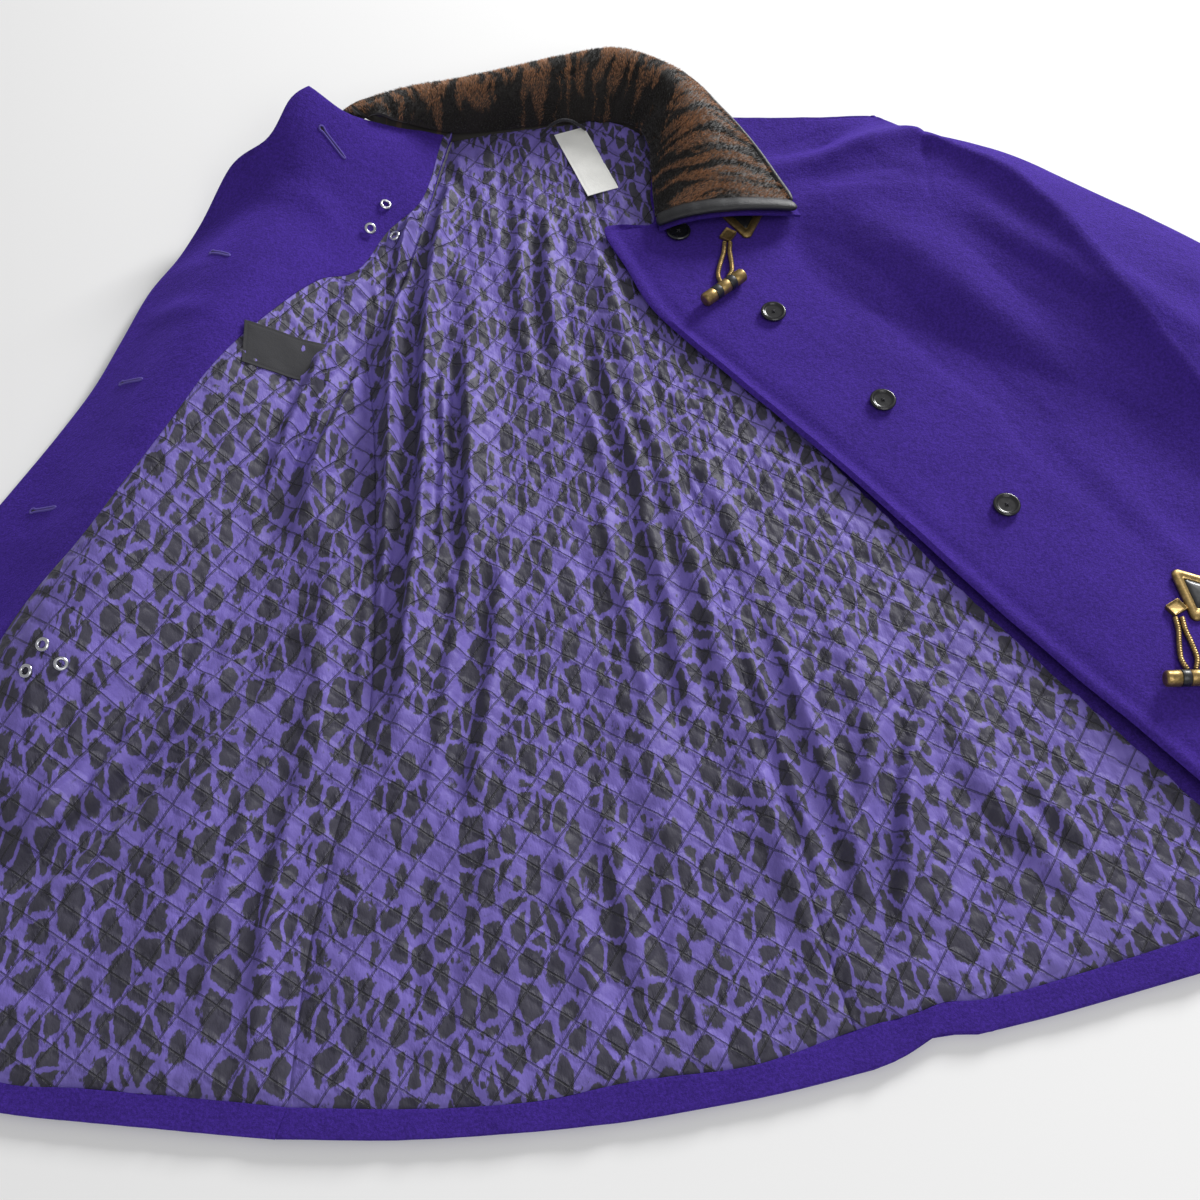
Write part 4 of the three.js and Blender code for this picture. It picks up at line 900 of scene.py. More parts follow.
def lining_material():
    """Violet satin with ragged charcoal spots, and painted shade along the stitch lines of its quilting."""
    def build(tree, shader):
        grain = add(tree, "UVMap", {}, uv_map="Grain")[0]
        printed = add(tree, "UVMap", {}, uv_map="Print")[0]
        drift = noise(tree, printed, 34, 2, 0.5)
        wavy = moved(tree, printed, swing(tree, drift, 0.012),
                     swing(tree, noise(tree, printed, 21), 0.02))
        leafy = stretched(tree, wavy, 1.0, 0.5)
        ragged = noise(tree, stretched(tree, printed, 1.0, 0.45), 340, 3, 0.6)
        # Two sizes of spot: cells a unit of length, shortest and longest reach, shift.
        masks = []
        for scale, low, high, shift in [(72, 0.46, 0.85, 0.0), (128, 0.0, 0.30, 0.37)]:
            layer = {"Vector": moved(tree, leafy, shift, shift * 1.7), "Scale": scale,
                     "Randomness": 0.9}
            cells = add(tree, "TexVoronoi", layer)
            borders = add(tree, "TexVoronoi", layer, feature="DISTANCE_TO_EDGE")[0]
            chance = add(tree, "SeparateColor", {0: cells["Color"]})[0]
            reach = add(tree, "MapRange", {0: chance, 1: 0.0, 2: 1.0, 3: low, 4: high})[0]
            frayed = maths(tree, "ADD", cells["Distance"], swing(tree, ragged, 0.42))
            inside = ramp(tree, maths(tree, "SUBTRACT", reach, frayed), -0.03, 0.06)
            veined = ramp(tree, maths(tree, "ADD", borders, swing(tree, ragged, 0.26)), 0.06, 0.105)
            masks.append(maths(tree, "MULTIPLY", inside, veined))
        spots = maths(tree, "MAXIMUM", masks[0], masks[1])
        cloudy = noise(tree, grain, 22, 3, 0.6)
        ground = mix(tree, cloudy, rgba(colours().ground, 0.62), rgba(colours().ground, 1.3))
        marked = mix(tree, ragged, rgba(colours().spots, 0.7), rgba(colours().spots, 1.35))
        colour = mix(tree, maths(tree, "MULTIPLY", spots, 0.93), ground, marked)

        axes = add(tree, "SeparateXYZ", {0: grain})
        apart = sizes().quilt_lines * math.sqrt(2)
        away = []
        for operation in ("ADD", "SUBTRACT"):
            run = maths(tree, "DIVIDE", maths(tree, operation, axes[0], axes[1]), apart)
            to_next = maths(tree, "PINGPONG", run, 0.5)
            away.append(maths(tree, "MULTIPLY", to_next, sizes().quilt_lines))
        near = maths(tree, "MINIMUM", away[0], away[1])
        stitched = ramp(tree, near, 0.0009, 0.0003)
        # Painted shade: along the stitch lines, where the padding is drawn down, the colour is darkened towards
        # near-black.
        stitch_line_shade = maths(tree, "MULTIPLY", stitched, 0.55)
        colour = mix(tree, stitch_line_shade, colour, rgba(colours().spots, 0.5))
        pulled = noise(tree, stretched(tree, grain, 1.0, 0.45), 210, 3, 0.6)
        close = ramp(tree, near, 0.005, 0.0)
        puckers = maths(tree, "MULTIPLY", pulled, maths(tree, "ADD", close, 0.25))
        height = maths(tree, "ADD", maths(tree, "MULTIPLY", puckers, 0.9),
                       maths(tree, "MULTIPLY", ragged, 0.12))
        height = maths(tree, "SUBTRACT", height, maths(tree, "MULTIPLY", stitched, 0.5))
        set_inputs(tree, shader, Base_Color=colour, Roughness=0.58, Sheen_Weight=0.08,
                   Normal=bump(tree, height, 0.0034, 0.9))
        shader.inputs["Specular IOR Level"].default_value = 0.28
    return material("Quilted lining", build)


def fur_material():
    """Brown pile with dark stripes across the collar; painted shade makes it darker at the neck, where the collar
    stands, and at the roots.
    """
    def build(tree, shader):
        pelt = add(tree, "UVMap", {}, uv_map="Pelt")[0]
        hair = add(tree, "UVMap", {}, uv_map="Hair")[0]
        along = moved(tree, pelt, swing(tree, noise(tree, pelt, 26, 3, 0.6), 0.03))
        bands = noise(tree, stretched(tree, along, 1.0, 0.13), 104, 1.6, 0.45, 0.25)
        axes = add(tree, "SeparateXYZ", {0: pelt})
        # Painted shade: near the neck edge, where the collar stands up, the dark stripes spread further.
        stand = ramp(tree, axes[1], 0.034, 0.008)
        bands = maths(tree, "ADD", bands, maths(tree, "MULTIPLY", stand, 0.10))
        stripes = ramp(tree, bands, 0.495, 0.52)
        tip = add(tree, "SeparateXYZ", {0: hair})
        ground = mix(tree, tip[1], rgba(colours().fur, 0.66), rgba(colours().fur, 1.55))
        marked = mix(tree, tip[1], rgba(colours().stripes, 0.5), rgba(colours().stripes, 1.2))
        colour = mix(tree, stripes, ground, marked)
        # Painted shade: the hairs' roots, and the pile and stand that have no hair map, take a near-black colour.
        shaded_at_roots = mix(tree, ramp(tree, tip[0], -0.2, 0.75), rgba(colours().stripes, 0.9), colour)
        set_inputs(tree, shader, Base_Color=shaded_at_roots, Roughness=0.62, Sheen_Weight=0.2)
        shader.inputs["Specular IOR Level"].default_value = 0.3
    return material("Striped fur", build)


def binding_material():
    """Soft black leather with pores and small wrinkles."""
    def build(tree, shader):
        place = object_place(tree)
        pores = add(tree, "TexVoronoi", {"Vector": place, "Scale": 900.0})["Distance"]
        wrinkles = noise(tree, place, 160, 3, 0.6)
        set_inputs(tree, shader, Base_Color=rgba(linear(25, 26, 30)), Roughness=0.48,
                   Normal=bump(tree, maths(tree, "ADD", pores, wrinkles), 0.0005, 0.5))
    return material("Collar binding", build)


def gold_material():
    """Worn plating: darker and duller in soft patches here and there."""
    def build(tree, shader):
        place = object_place(tree)
        worn = effect(tree, "Soft patches", place, 180, 5, 0.7, 0.35, 0.7)
        colour = mix(tree, worn, rgba(colours().gold, 0.45), rgba(colours().gold, 1.1))
        rough = add(tree, "MapRange", {0: worn, 1: 0.0, 2: 1.0, 3: 0.5, 4: 0.28})[0]
        set_inputs(tree, shader, Base_Color=colour, Metallic=0.9, Roughness=rough,
                   Normal=bump(tree, noise(tree, place, 420, 3), 0.0003, 0.4))
    return material("Antique gold", build)


def glossy_black(name, roughness):
    def build(tree, shader):
        dull = effect(tree, "Dull patches", object_place(tree), 300, roughness * 0.75,
                      roughness * 1.3)
        set_inputs(tree, shader, Base_Color=rgba(linear(22, 22, 25)), Roughness=dull,
                   Coat_Weight=0.2)
    return material(name, build)


def silver_material():
    def build(tree, shader):
        dull = effect(tree, "Dull patches", object_place(tree), 500, 0.16, 0.36)
        set_inputs(tree, shader, Base_Color=rgba(linear(205, 206, 212)), Metallic=1.0,
                   Roughness=dull)
    return material("Silver", build)


def plain_cloth(name, colour, scale):
    """Fine cloth or thread of one colour, a little uneven."""
    def build(tree, shader):
        place = object_place(tree)
        uneven = noise(tree, place, 60, 3)
        shade = mix(tree, uneven, rgba(colour, 0.86), rgba(colour, 1.08))
        set_inputs(tree, shader, Base_Color=shade, Roughness=0.8, Sheen_Weight=0.15,
                   Normal=bump(tree, effect(tree, "Fine weave", place, scale), 0.0004, 0.5))
    return material(name, build)


# Heights of the finished cloth.

def quilting(x, y, away):
    """Height of the padding between the stitches, less near the panel's seams."""
    gx, gy = to_grain(x, y)
    apart = sizes().quilt_lines / MM * math.sqrt(2)
    puff = np.sqrt(np.abs(np.sin(np.pi * (gx + gy) / apart) * np.sin(np.pi * (gx - gy) / apart)))
    puff = puff * sizes().quilt_puff / MM * (0.8 + 0.35 * wander(x / 31, y / 43, 3))
    fade = smoothstep(away, 0, 9)
    pucker = 0.9 * wander(gx / 4.6, gy / 8, 5) + 0.5 * wander(gx / 2.9, gy / 5, 9)
    gathers = 0.9 * wander(gx / 5, gy / 3.4, 7) * bell(away, 16)
    return (puff + pucker + 0.7) * fade + gathers * smoothstep(away, 0, 4)


def valley_height(x, y):
    """Deep creases, each between two ridges and fading towards both its ends."""
    height = np.zeros(np.shape(x))
    for line, width, depth in VALLEYS:
        away = to_line(x, y, line) / width
        to_end = np.minimum(np.hypot(x - line[0][0], y - line[0][1]),
                            np.hypot(x - line[-1][0], y - line[-1][1]))
        depth = depth * smoothstep(to_end, 2, 75)
        height = height + depth * (1.5 * bell(away - 2.0, 1.0) - 1.9 * bell(away, 1.0))
    return height


def lining_height(under, edges, slack):
    """Top of a lining over the level under it. slack is how far a trough may sink there."""
    def height(x, y):
        away = np.full(np.shape(x), 1e9)
        for edge in edges:
            away = np.minimum(away, to_line(x, y, edge))
        gx, gy = to_grain(x, y)
        drawn = smoothstep(y, 700, 1000)
        wrinkles = (0.5 + 1.3 * drawn) * wander(gx / 8, gy / 46, 17)
        wrinkles = wrinkles + 0.8 * wander(gx / 17, gy / 60, 19)
        shape = fold_height(x, y, LINING_CREASES) + valley_height(x, y) + wrinkles + 0.6
        relief = quilting(x, y, away) + shape * smoothstep(away, 0, 12)
        lowest = LOWEST_LEVEL - 0.8 * slack(x, y)
        above = np.logaddexp(0, (relief - lowest) * LOWEST_BEND) / LOWEST_BEND
        return under(x, y) + LINING + lowest + above
    return height


def no_slack(x, y):
    return np.zeros(np.shape(x))


def soft_wool(x, y, seed):
    """Small unevenness of wool that lies loosely."""
    return (1.3 * wander(x / 62, y / 62, seed) + 0.6 * wander(x / 27, y / 31, seed + 1)
            + 0.25 * wander(x / 11, y / 12, seed + 2))


def hem_ripple(x, y, size, seed):
    return size * wander(x / 17, y / 40, seed) + 0.5 * wander(x / 8, y / 30, seed + 1)


def facing_shape(x, y):
    return fold_height(x, y, FACING_CREASES) + soft_wool(x, y, 21)


def front_shape(x, y):
    return fold_height(x, y, WOOL_CREASES) + soft_wool(x, y, 41)


def cloth_panel(name, node, edges, height, thickness, rim, held, rests_on, made_of, step,
                slot="wool", fullness=WOOL_EASE, maps=None):
    """A sheet between four plan edges, with its top at a height, dressed and declared."""
    left, right, top, bottom = edges
    layout = patch_between(*edges)

    def place(s, t):
        plan = layout(s, t)
        return np.column_stack([plan, height(plan[:, 0], plan[:, 1])])

    across = max(faces_along(top, step), faces_along(bottom, step))
    down = max(faces_along(left, step), faces_along(right, step))
    piece = thicken(grid(name, across, down, place, made_of, maps), thickness, rim)
    declare_sheet(dress(piece, slot, node), edges, held, rests_on, fullness)


def quilted_panel(name, node, edges, under, seams, slack, held, rests_on):
    """A quilted sheet over the level under it, drawn down at its seams."""
    cloth_panel(name, node, edges, lining_height(under, seams, slack), LINING, 0, held, rests_on,
                lining_material(), sizes().lining_step, "quilted_lining", LINING_EASE, grain_map)


def grain_map(s, t, points):
    """The quilting's own square map, and the print's, which spreads from the neck to the hem."""
    x, y = points[:, 0], points[:, 1]
    gx, gy = to_grain(x, y)
    dx, dy = x - PRINT_FROM[0], y - PRINT_FROM[1]
    turn = np.arctan2(dx, -dy) * PRINT_FLARE
    return {"Grain": np.column_stack([gx, gy]) * MM,
            "Print": np.column_stack([turn, np.hypot(dx, dy)]) * MM}


class PieceOperator(bpy.types.Operator):
    """What the operators of the coat's pieces share"""
    bl_options = {"REGISTER", "UNDO"}


class COAT_OT_back(PieceOperator):
    """Back of the coat: two wool panels, the turned-up hem and the quilted lining"""
    bl_idname = "coat.back"
    bl_label = "Back"

    def execute(self, context):
        wool = wool_material("Wool")
        step = sizes().wool_step
        wools = ["back_wool_right", "back_wool_left"]
        for name, node, edges in [
            (wools[0], "back_shell_right", (RIGHT_SIDE, CENTRE_SEAM, NECK, HEM_BACK_RIGHT)),
            (wools[1], "back_shell_left", (CENTRE_SEAM, LEFT_SIDE, NECK_LEFT, HEM_BACK_LEFT)),
        ]:
            cloth_panel(name, node, edges, flat_wool, WOOL, 0.5, "laid", [], wool, COARSE * step)

        def hem_height(x, y):
            return LINING_LEVEL + HEM_TURN + 0.9 + hem_ripple(x, y, 0.9, 12)

        inner = LINING_HEM_BACK_RIGHT + LINING_HEM_BACK_LEFT[1:] + [BACK_HEM_CORNER]
        outer = HEM_BACK_RIGHT + HEM_BACK_LEFT[1:]
        edges = ([inner[0], outer[0]], [inner[-1], outer[-1]], inner, outer)
        cloth_panel("back_hem_turned_up", "back_hem", edges, hem_height, HEM_TURN, 0.8, "folded",
                    wools, wool, FINE * step)

        neck_left = [NECK[-1], LINING_LEFT_LIMIT[0]]
        for name, node, edges, seams in [
            ("back_quilting_right", "back_lining_right",
             (LINING_SIDE, CENTRE_PLEAT, NECK, LINING_HEM_BACK_RIGHT),
             [LINING_SIDE, CENTRE_PLEAT, LINING_HEM_BACK_RIGHT, NECK]),
            ("back_quilting_left", "back_lining_left",
             (CENTRE_PLEAT, LINING_LEFT_LIMIT, neck_left, LINING_HEM_BACK_LEFT),
             [CENTRE_PLEAT, LINING_HEM_BACK_LEFT]),
        ]:
            quilted_panel(name, node, edges, back_lining_level, seams, back_fold_height, "laid",
                          wools)
        return {"FINISHED"}


class COAT_OT_right_front(PieceOperator):
    """Right front, turned open over its sleeve: wool, facing, hem and quilted lining"""
    bl_idname = "coat.right_front"
    bl_label = "Right front"

    def execute(self, context):
        wool = wool_material("Wool")
        step = sizes().wool_step
        on_wool = ["right_front_wool"]

        def wool_height(x, y):
            return right_front_height(x, y) + WOOL

        def facing_height(x, y):
            away = np.minimum(to_line(x, y, FACING_LINE), to_line(x, y, FRONT_EDGE_RIGHT))
            return facing_top(x, y) + np.maximum(facing_shape(x, y) * smoothstep(away, 0, 14), -0.2)

        def hem_height(x, y):
            return right_lining_level(x, y) + HEM_TURN + 0.6 + hem_ripple(x, y, 0.8, 15)

        neck = NECK_EDGE_RIGHT + RIGHT_SIDE[:1]
        facing_end = [FRONT_EDGE_RIGHT[-1], FACING_LINE[-1]]
        side_end = [LINING_SIDE[-1], HEM_RIGHT_FRONT[-1]]
        for name, node, edges, height, thickness, rim, held, rests_on, detail in [
            ("right_front_wool", "right_front_shell",
             (FRONT_EDGE_RIGHT, RIGHT_SIDE, neck, HEM_RIGHT_FRONT),
             wool_height, WOOL, 0.8, "draped", ["right_sleeve_wool"], 1),
            ("right_front_facing_wool", "right_front_facing",
             (FRONT_EDGE_RIGHT, FACING_LINE, NECK_EDGE_RIGHT, facing_end),
             facing_height, FACING, 1.0, "draped", on_wool, FINE),
            ("right_front_hem_turned_up", "right_front_hem",
             (facing_end[::-1], side_end, LINING_HEM_RIGHT, HEM_RIGHT_FRONT),
             hem_height, HEM_TURN, 0.8, "folded", on_wool, FINE),
        ]:
            cloth_panel(name, node, edges, height, thickness, rim, held, rests_on, wool,
                        detail * step)

        edges = (FACING_LINE, LINING_SIDE, [FACING_LINE[0], RIGHT_SIDE[0]], LINING_HEM_RIGHT)
        quilted_panel("right_front_quilting", "right_front_lining", edges, right_lining_level,
                      [FACING_LINE, LINING_SIDE, LINING_HEM_RIGHT], no_slack, "draped", on_wool)
        return {"FINISHED"}


class COAT_OT_sleeves(PieceOperator):
    """The left sleeve, and the hidden right sleeve with its shoulder pad"""
    bl_idname = "coat.sleeves"
    bl_label = "Sleeves"

    def execute(self, context):
        wool = wool_material("Wool of the sleeves", 0.98)
        step = sizes().wool_step
        edges = (ARMHOLE_LINE, CUFF_LINE, SLEEVE_TOP_LINE, SLEEVE_LOW_LINE)

        def top_height(x, y):
            away = np.minimum(to_line(x, y, SLEEVE_TOP_LINE), to_line(x, y, SLEEVE_LOW_LINE))
            shape = fold_height(x, y, WOOL_CREASES) + soft_wool(x, y, 31)
            return left_sleeve_top(x, y) + np.maximum(shape * smoothstep(away, 0, 16), -2)

        cloth_panel("left_sleeve_wool", "left_sleeve_top", edges, top_height, WOOL, 1.2, "laid",
                    ["left_sleeve_wool_under"], wool, step)
        cloth_panel("left_sleeve_wool_under", "left_sleeve_under", edges, flat_wool, WOOL, 0.8,
                    "laid", [], wool, COARSE * step)

        rows = np.array(RIGHT_SLEEVE, float)
        heading = np.diff(rows[:, :2], axis=0)
        heading /= np.linalg.norm(heading, axis=1)[:, None]
        reach = rows[:-1, 2:3] * HIDDEN_SHARE
        sides = [rows[:-1, :2] + way * reach * np.column_stack([heading[:, 1], -heading[:, 0]])
                 for way in (1, -1)]

        def limb(s, t):
            over = s * 2
            across = np.where(over <= 1, over, 2 - over)
            a, b = spaced(sides[0], t), spaced(sides[1], t)
            plan = a + (b - a) * across[:, None]
            rounding = np.sqrt(np.clip(1 - (2 * across - 1) ** 4, 0, 1))
            near = np.clip(np.minimum(t, 1 - t) * 14, 0, 1)
            rounding = rounding * np.sqrt(near * (2 - near))
            height = np.maximum(3.4, (under_right_front(plan[:, 0], plan[:, 1]) - 2.4) * rounding)
            z = np.where(over <= 1, height, 0.0)
            z = np.where((over == 0) | (over >= 2) | (over == 1), 1.5, z)
            shut = (t <= 0) | (t >= 1)
            return np.column_stack([plan, np.where(shut, 1.5, z)])

        piece = surface("right_sleeve_wool", 60, 80, limb, wool)
        dress(thicken(piece, WOOL), "wool", "right_sleeve")
        length = run_of(rows[:-1, :2]) * MM
        girth = rows[:-1, 2].mean() * HIDDEN_SHARE * 4 * MM
        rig.sheet(piece, flat=(girth, length * 1.06), held="laid", rests_on=[])
        return {"FINISHED"}


class COAT_OT_left_front(PieceOperator):
    """The left front: it lies over the lining and the sleeve, and is folded under at its side"""
    bl_idname = "coat.left_front"
    bl_label = "Left front"

    def execute(self, context):
        last = len(LEFT_FRONT) - 1
        lip_columns, roll_columns = 5, 12
        columns = round(0.30 / sizes().wool_step * 2.4)
        across = columns + roll_columns + lip_columns
        half = FRONT_CLOTH / 2

        def place(s, t):
            ax, ay, bx, by, under, full = row_at(LEFT_FRONT, t * last).T
            length = np.hypot(ax - bx, ay - by)
            ux, uy = (ax - bx) / length, (ay - by) / length
            on_sleeve = spine_height(bx, by, LEFT_SLEEVE, dome_hump)
            on_sleeve = np.where(on_sleeve > 4, np.maximum(SLEEVE_EDGE, on_sleeve) + FRONT_CLEAR, 0)
            lip = LINING_LEVEL + (on_sleeve - LINING_LEVEL) * full + half
            column = np.rint(s * across)
            share = 1 - np.clip(column / columns, 0, 1)
            q = ROLL_RADIUS + (length - ROLL_RADIUS) * share
            x, y = bx + ux * q, by + uy * q
            level = left_front_under(x, y) + half
            to_edge = length - q
            shape = front_shape(x, y) + edge_height(to_edge, FRONT_EDGE_SHAPE)
            shape = shape + smoothstep(t * last, 1.2, 3.2) * edge_height(q, FOLDED_EDGE_SHAPE)
            fade = smoothstep(q, ROLL_RADIUS, ROLL_FADE)
            top = np.maximum(level, lip + 2 * ROLL_RADIUS + (level - lip - 2 * ROLL_RADIUS) * fade)
            top = top + np.maximum(shape, -2.6)
            top = top - 3.0 * np.clip(1 - to_edge / 5, 0, 1) ** 2
            roll_under = left_front_under(bx + ux * ROLL_RADIUS, by + uy * ROLL_RADIUS)
            start = np.maximum(roll_under + half, lip + 2 * ROLL_RADIUS)
            angle = np.pi * np.clip((column - columns) / roll_columns, 0, 1)
            rise = (start - lip) / 2
            roll_q = ROLL_RADIUS - ROLL_RADIUS * np.sin(angle)
            roll_z = lip + rise + rise * np.cos(angle)
            tail = np.clip((column - columns - roll_columns) / lip_columns, 0, 1)
            lip_q = ROLL_RADIUS + tail * (under - ROLL_RADIUS)
            on_roll, on_lip = column > columns, column > columns + roll_columns
            q = np.where(on_lip, lip_q, np.where(on_roll, roll_q, q))
            z = np.where(on_lip, lip, np.where(on_roll, roll_z, top))
            return np.column_stack([bx + ux * q, by + uy * q, z])

        piece = grid("left_front_wool", across, round(1.68 / sizes().wool_step), place,
                     wool_material("Wool"))
        thicken(piece, FRONT_CLOTH, 1.4).modifiers["Thickness"].offset = 0
        dress(piece, "wool", "left_front")
        rows = np.array(LEFT_FRONT, float)
        wide = np.hypot(rows[:, 0] - rows[:, 2], rows[:, 1] - rows[:, 3]) + rows[:, 4]
        middle = (rows[:, :2] + rows[:, 2:4]) / 2
        long = run_of(middle)
        flat = (wide.max() * MM * 1.06, long * MM * 1.12)
        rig.sheet(piece, flat=flat, held="folded",
                 rests_on=["back_quilting_left", "left_sleeve_wool"],
                 area=min(wide.mean() * long * MM * MM, 0.98 * flat[0] * flat[1]))
        return {"FINISHED"}


def collar_rows():
    """The collar's sections, with every height measured from the ground."""
    rows = np.array(COLLAR, float)
    for x, y, z in ((0, 1, 2), (6, 7, 8)):
        seat = front_top(rows[:, x], rows[:, y])
        rows[:, z] += np.where(rows[:, x] > COLLAR_ON_FRONT, seat, 0)
    return rows


def collar_at(place, across):
    """Points of the collar, from their row and their share from the neck to the outer edge."""
    rows = row_at(collar_rows(), place)
    t = across[:, None]
    return (2 * (t - 0.5) * (t - 1) * rows[:, 0:3] + 4 * t * (1 - t) * rows[:, 3:6]
            + 2 * t * (t - 0.5) * rows[:, 6:9])


def collar_frame(place, across):
    """Points of the collar, with the ways out of it, over it and along it."""
    step = 0.02
    within = np.clip(place, step, len(COLLAR) - 1 - step)
    along = collar_at(within + step, across) - collar_at(within - step, across)
    over = collar_at(place, across + step) - collar_at(place, across - step)
    out = np.cross(along, over)
    units = [v / np.linalg.norm(v, axis=1)[:, None] for v in (out, over, along)]
    return (collar_at(place, across), *units)


def collar_run(place):
    """Length along the collar's roll, in metres."""
    fine = np.linspace(0, len(COLLAR) - 1, 600)
    line = collar_at(fine, np.full(fine.shape, 0.6))
    return np.interp(place, fine, runs_to(line)) * MM


def pelt(place, across):
    """The pile's map: metres along the collar and across it."""
    return np.column_stack([collar_run(place), across * COLLAR_WIDE])


class COAT_OT_collar(PieceOperator):
    """The collar: its pile and the hairs on it, the bindings and the wool below"""
    bl_idname = "coat.collar"
    bl_label = "Collar"

    def execute(self, context):
        end = len(COLLAR) - 1
        fur_end = end - TIP_BINDING
        long = float(collar_run(np.array([fur_end]))[0])
        fur = fur_material()
        self.pile(fur, fur_end, long)
        self.hairs(fur, fur_end)
        self.stand(fur)
        self.bands(end, fur_end, long)
        self.wool_below(end, long)
        return {"FINISHED"}

    def pile(self, fur, fur_end, long):
        """The pile's cloth, on the collar's upper side."""
        def place(s, t):
            row, across = s * fur_end, (1 - t) * FUR_ACROSS
            point, out, _, _ = collar_frame(row, across)
            level = PILE_LEVEL + 0.8 * wander(collar_run(row) * 60, across * 5, 61)
            return point + out * level[:, None]

        def maps(s, t, points):
            return {"Pelt": pelt(s * fur_end, (1 - t) * FUR_ACROSS)}

        piece = grid("collar_pile", 200, 34, place, fur, maps)
        dress(thicken(piece, PILE_THICK, 1.0), "striped_fur", "collar_fur")
        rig.sheet(piece, flat=(long * 1.02, 0.098), held="folded", rests_on=["collar_wool"],
                 area=long * 0.092)

    def stand(self, fur):
        """The strip below the roll, down to the lining and the facing."""
        def place(s, t):
            row = STAND_FROM + s * STAND_RUN
            top = collar_at(row, np.full(row.shape, 0.03))
            foot = collar_at(row, np.zeros(row.shape)) - np.array([0, 4.0, 0])
            x, y = foot[:, 0], foot[:, 1]
            on_lining = back_lining_level(x, y) + LINING + 1
            foot[:, 2] = np.where(x < FACING_LINE[0][0] + 4, facing_top(x, y), on_lining) + 0.4
            down = t[:, None]
            return top + (foot - top) * down + np.array([0, 2.0, 0]) * np.sin(np.pi * down)

        def maps(s, t, points):
            return {"Pelt": pelt(STAND_FROM + s * STAND_RUN, 0.05 * (1 - t))}

        piece = grid("collar_stand", 150, 10, place, fur, maps)
        dress(thicken(piece, 2.2, 0.5), "striped_fur")
        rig.sheet(piece, flat=(0.24, 0.02), held="folded", rests_on=["back_quilting_right"])

    def bands(self, end, fur_end, long):
        """The bindings of the outer edge and of the tip."""
        def edge(s, t):
            angle = 2 * np.pi * s
            shut = np.sqrt(np.clip(np.minimum(t, 1 - t) * 60, 0, 1))
            across = 0.981 + 0.017 * np.cos(angle) * shut
            point, out, _, _ = collar_frame(t * fur_end, across)
            return point + out * (3.4 + 3.3 * np.sin(angle) * shut)[:, None]

        def tip(s, t):
            angle = 2 * np.pi * s
            shut = np.sqrt(np.clip(np.minimum(t, 1 - t) * 30, 0, 1))
            half = TIP_BINDING / 2 + 0.005
            row = end - half + half * np.cos(angle) * shut
            point, out, _, _ = collar_frame(row, 0.01 + t * 0.98)
            lift = 3.6 + 3.6 * np.sin(angle) * shut + 0.4 * wander(t * 15, t, 66)
            return point + out * lift[:, None]

        binding = binding_material()
        for name, node, around, along, place, flat in [
            ("collar_edge_band", "collar_edge_binding", 12, 220, edge, (long * 1.02, 0.011)),
            ("collar_tip_band", "collar_tip_binding", 20, 70, tip, (0.125, 0.0145)),
        ]:
            piece = surface(name, around, along, place, binding)
            dress(piece, "collar_binding", node)
            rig.sheet(piece, flat=flat, held="folded", rests_on=["collar_wool"])

    def wool_below(self, end, long):
        """The undercollar."""
        def place(s, t):
            point, out, _, _ = collar_frame(s * end, 1 - t)
            return point - out * COLLAR_GAP

        piece = grid("collar_wool", 160, 24, place, wool_material("Wool of the collar", 0.8))
        dress(thicken(piece, UNDERCOLLAR, 0.6), "wool", "undercollar")
        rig.sheet(piece, flat=(long * 1.05, COLLAR_WIDE), held="folded",
                 rests_on=["right_front_facing_wool"], area=long * 0.095)

    def hairs(self, fur, fur_end):
        """Tapered hairs of the pile, as one joined mesh."""
        count = sizes().fur_hairs
        random = np.random.default_rng(7)
        fine = np.linspace(0, fur_end, 500)
        outer_half = collar_at(fine, np.ones(500)) - collar_at(fine, np.full(500, 0.5))
        width = np.linalg.norm(outer_half, axis=1)
        run = collar_run(fine)
        share = np.concatenate([[0], np.cumsum(np.diff(run) * (width[1:] + width[:-1]))])
        place = np.interp(random.random(count) * share[-1], share, fine)
        across = random.random(count) * FUR_ACROSS
        point, out, over, along = collar_frame(place, across)
        root = point + out * HAIR_ROOT
        lean = 0.75 * over + (random.normal(0, 0.30, count) + 0.35 * wander(
            collar_run(place) * 35, across * 4, 62))[:, None] * along
        lean = lean + random.normal(0, 0.25, count)[:, None] * over
        way = out * (0.78 + 0.3 * random.random(count))[:, None] + lean
        way /= np.linalg.norm(way, axis=1)[:, None]
        length = sizes().fur_length / MM * random.uniform(0.65, 1.1, count)
        side = np.cross(way, random.normal(0, 1, (count, 3)))
        side /= np.linalg.norm(side, axis=1)[:, None]
        half = random.uniform(0.16, 0.30, count)[:, None]
        middle = root + way * (length * 0.55)[:, None]
        tip = root + (way - 0.25 * out) * length[:, None]
        points = np.stack([root - side * half, root + side * half, middle + side * half * 0.8,
                           middle - side * half * 0.8, tip], axis=1)
        first = np.arange(count)[:, None] * 5
        quads = np.hstack([first, first + 1, first + 2, first + 3])
        ends = np.hstack([first + 3, first + 2, first + 4])
        corners = np.concatenate([quads.ravel(), ends.ravel()]).astype(np.int32)
        starts = np.concatenate([np.arange(count) * 4, count * 4 + np.arange(count) * 3])
        mesh = bpy.data.meshes.new("collar_hairs")
        mesh.vertices.add(count * 5)
        points = (points.reshape(-1, 3) + SHIFT) * MM
        mesh.vertices.foreach_set("co", points.astype(np.float32).ravel())
        mesh.loops.add(len(corners))
        mesh.loops.foreach_set("vertex_index", corners)
        mesh.polygons.add(count * 2)
        mesh.polygons.foreach_set("loop_start", starts.astype(np.int32))
        mesh.update(calc_edges=True)
        whose = corners // 5
        shade = random.random(count)
        height = np.array([0, 0, 0.55, 0.55, 1.0])[corners % 5]
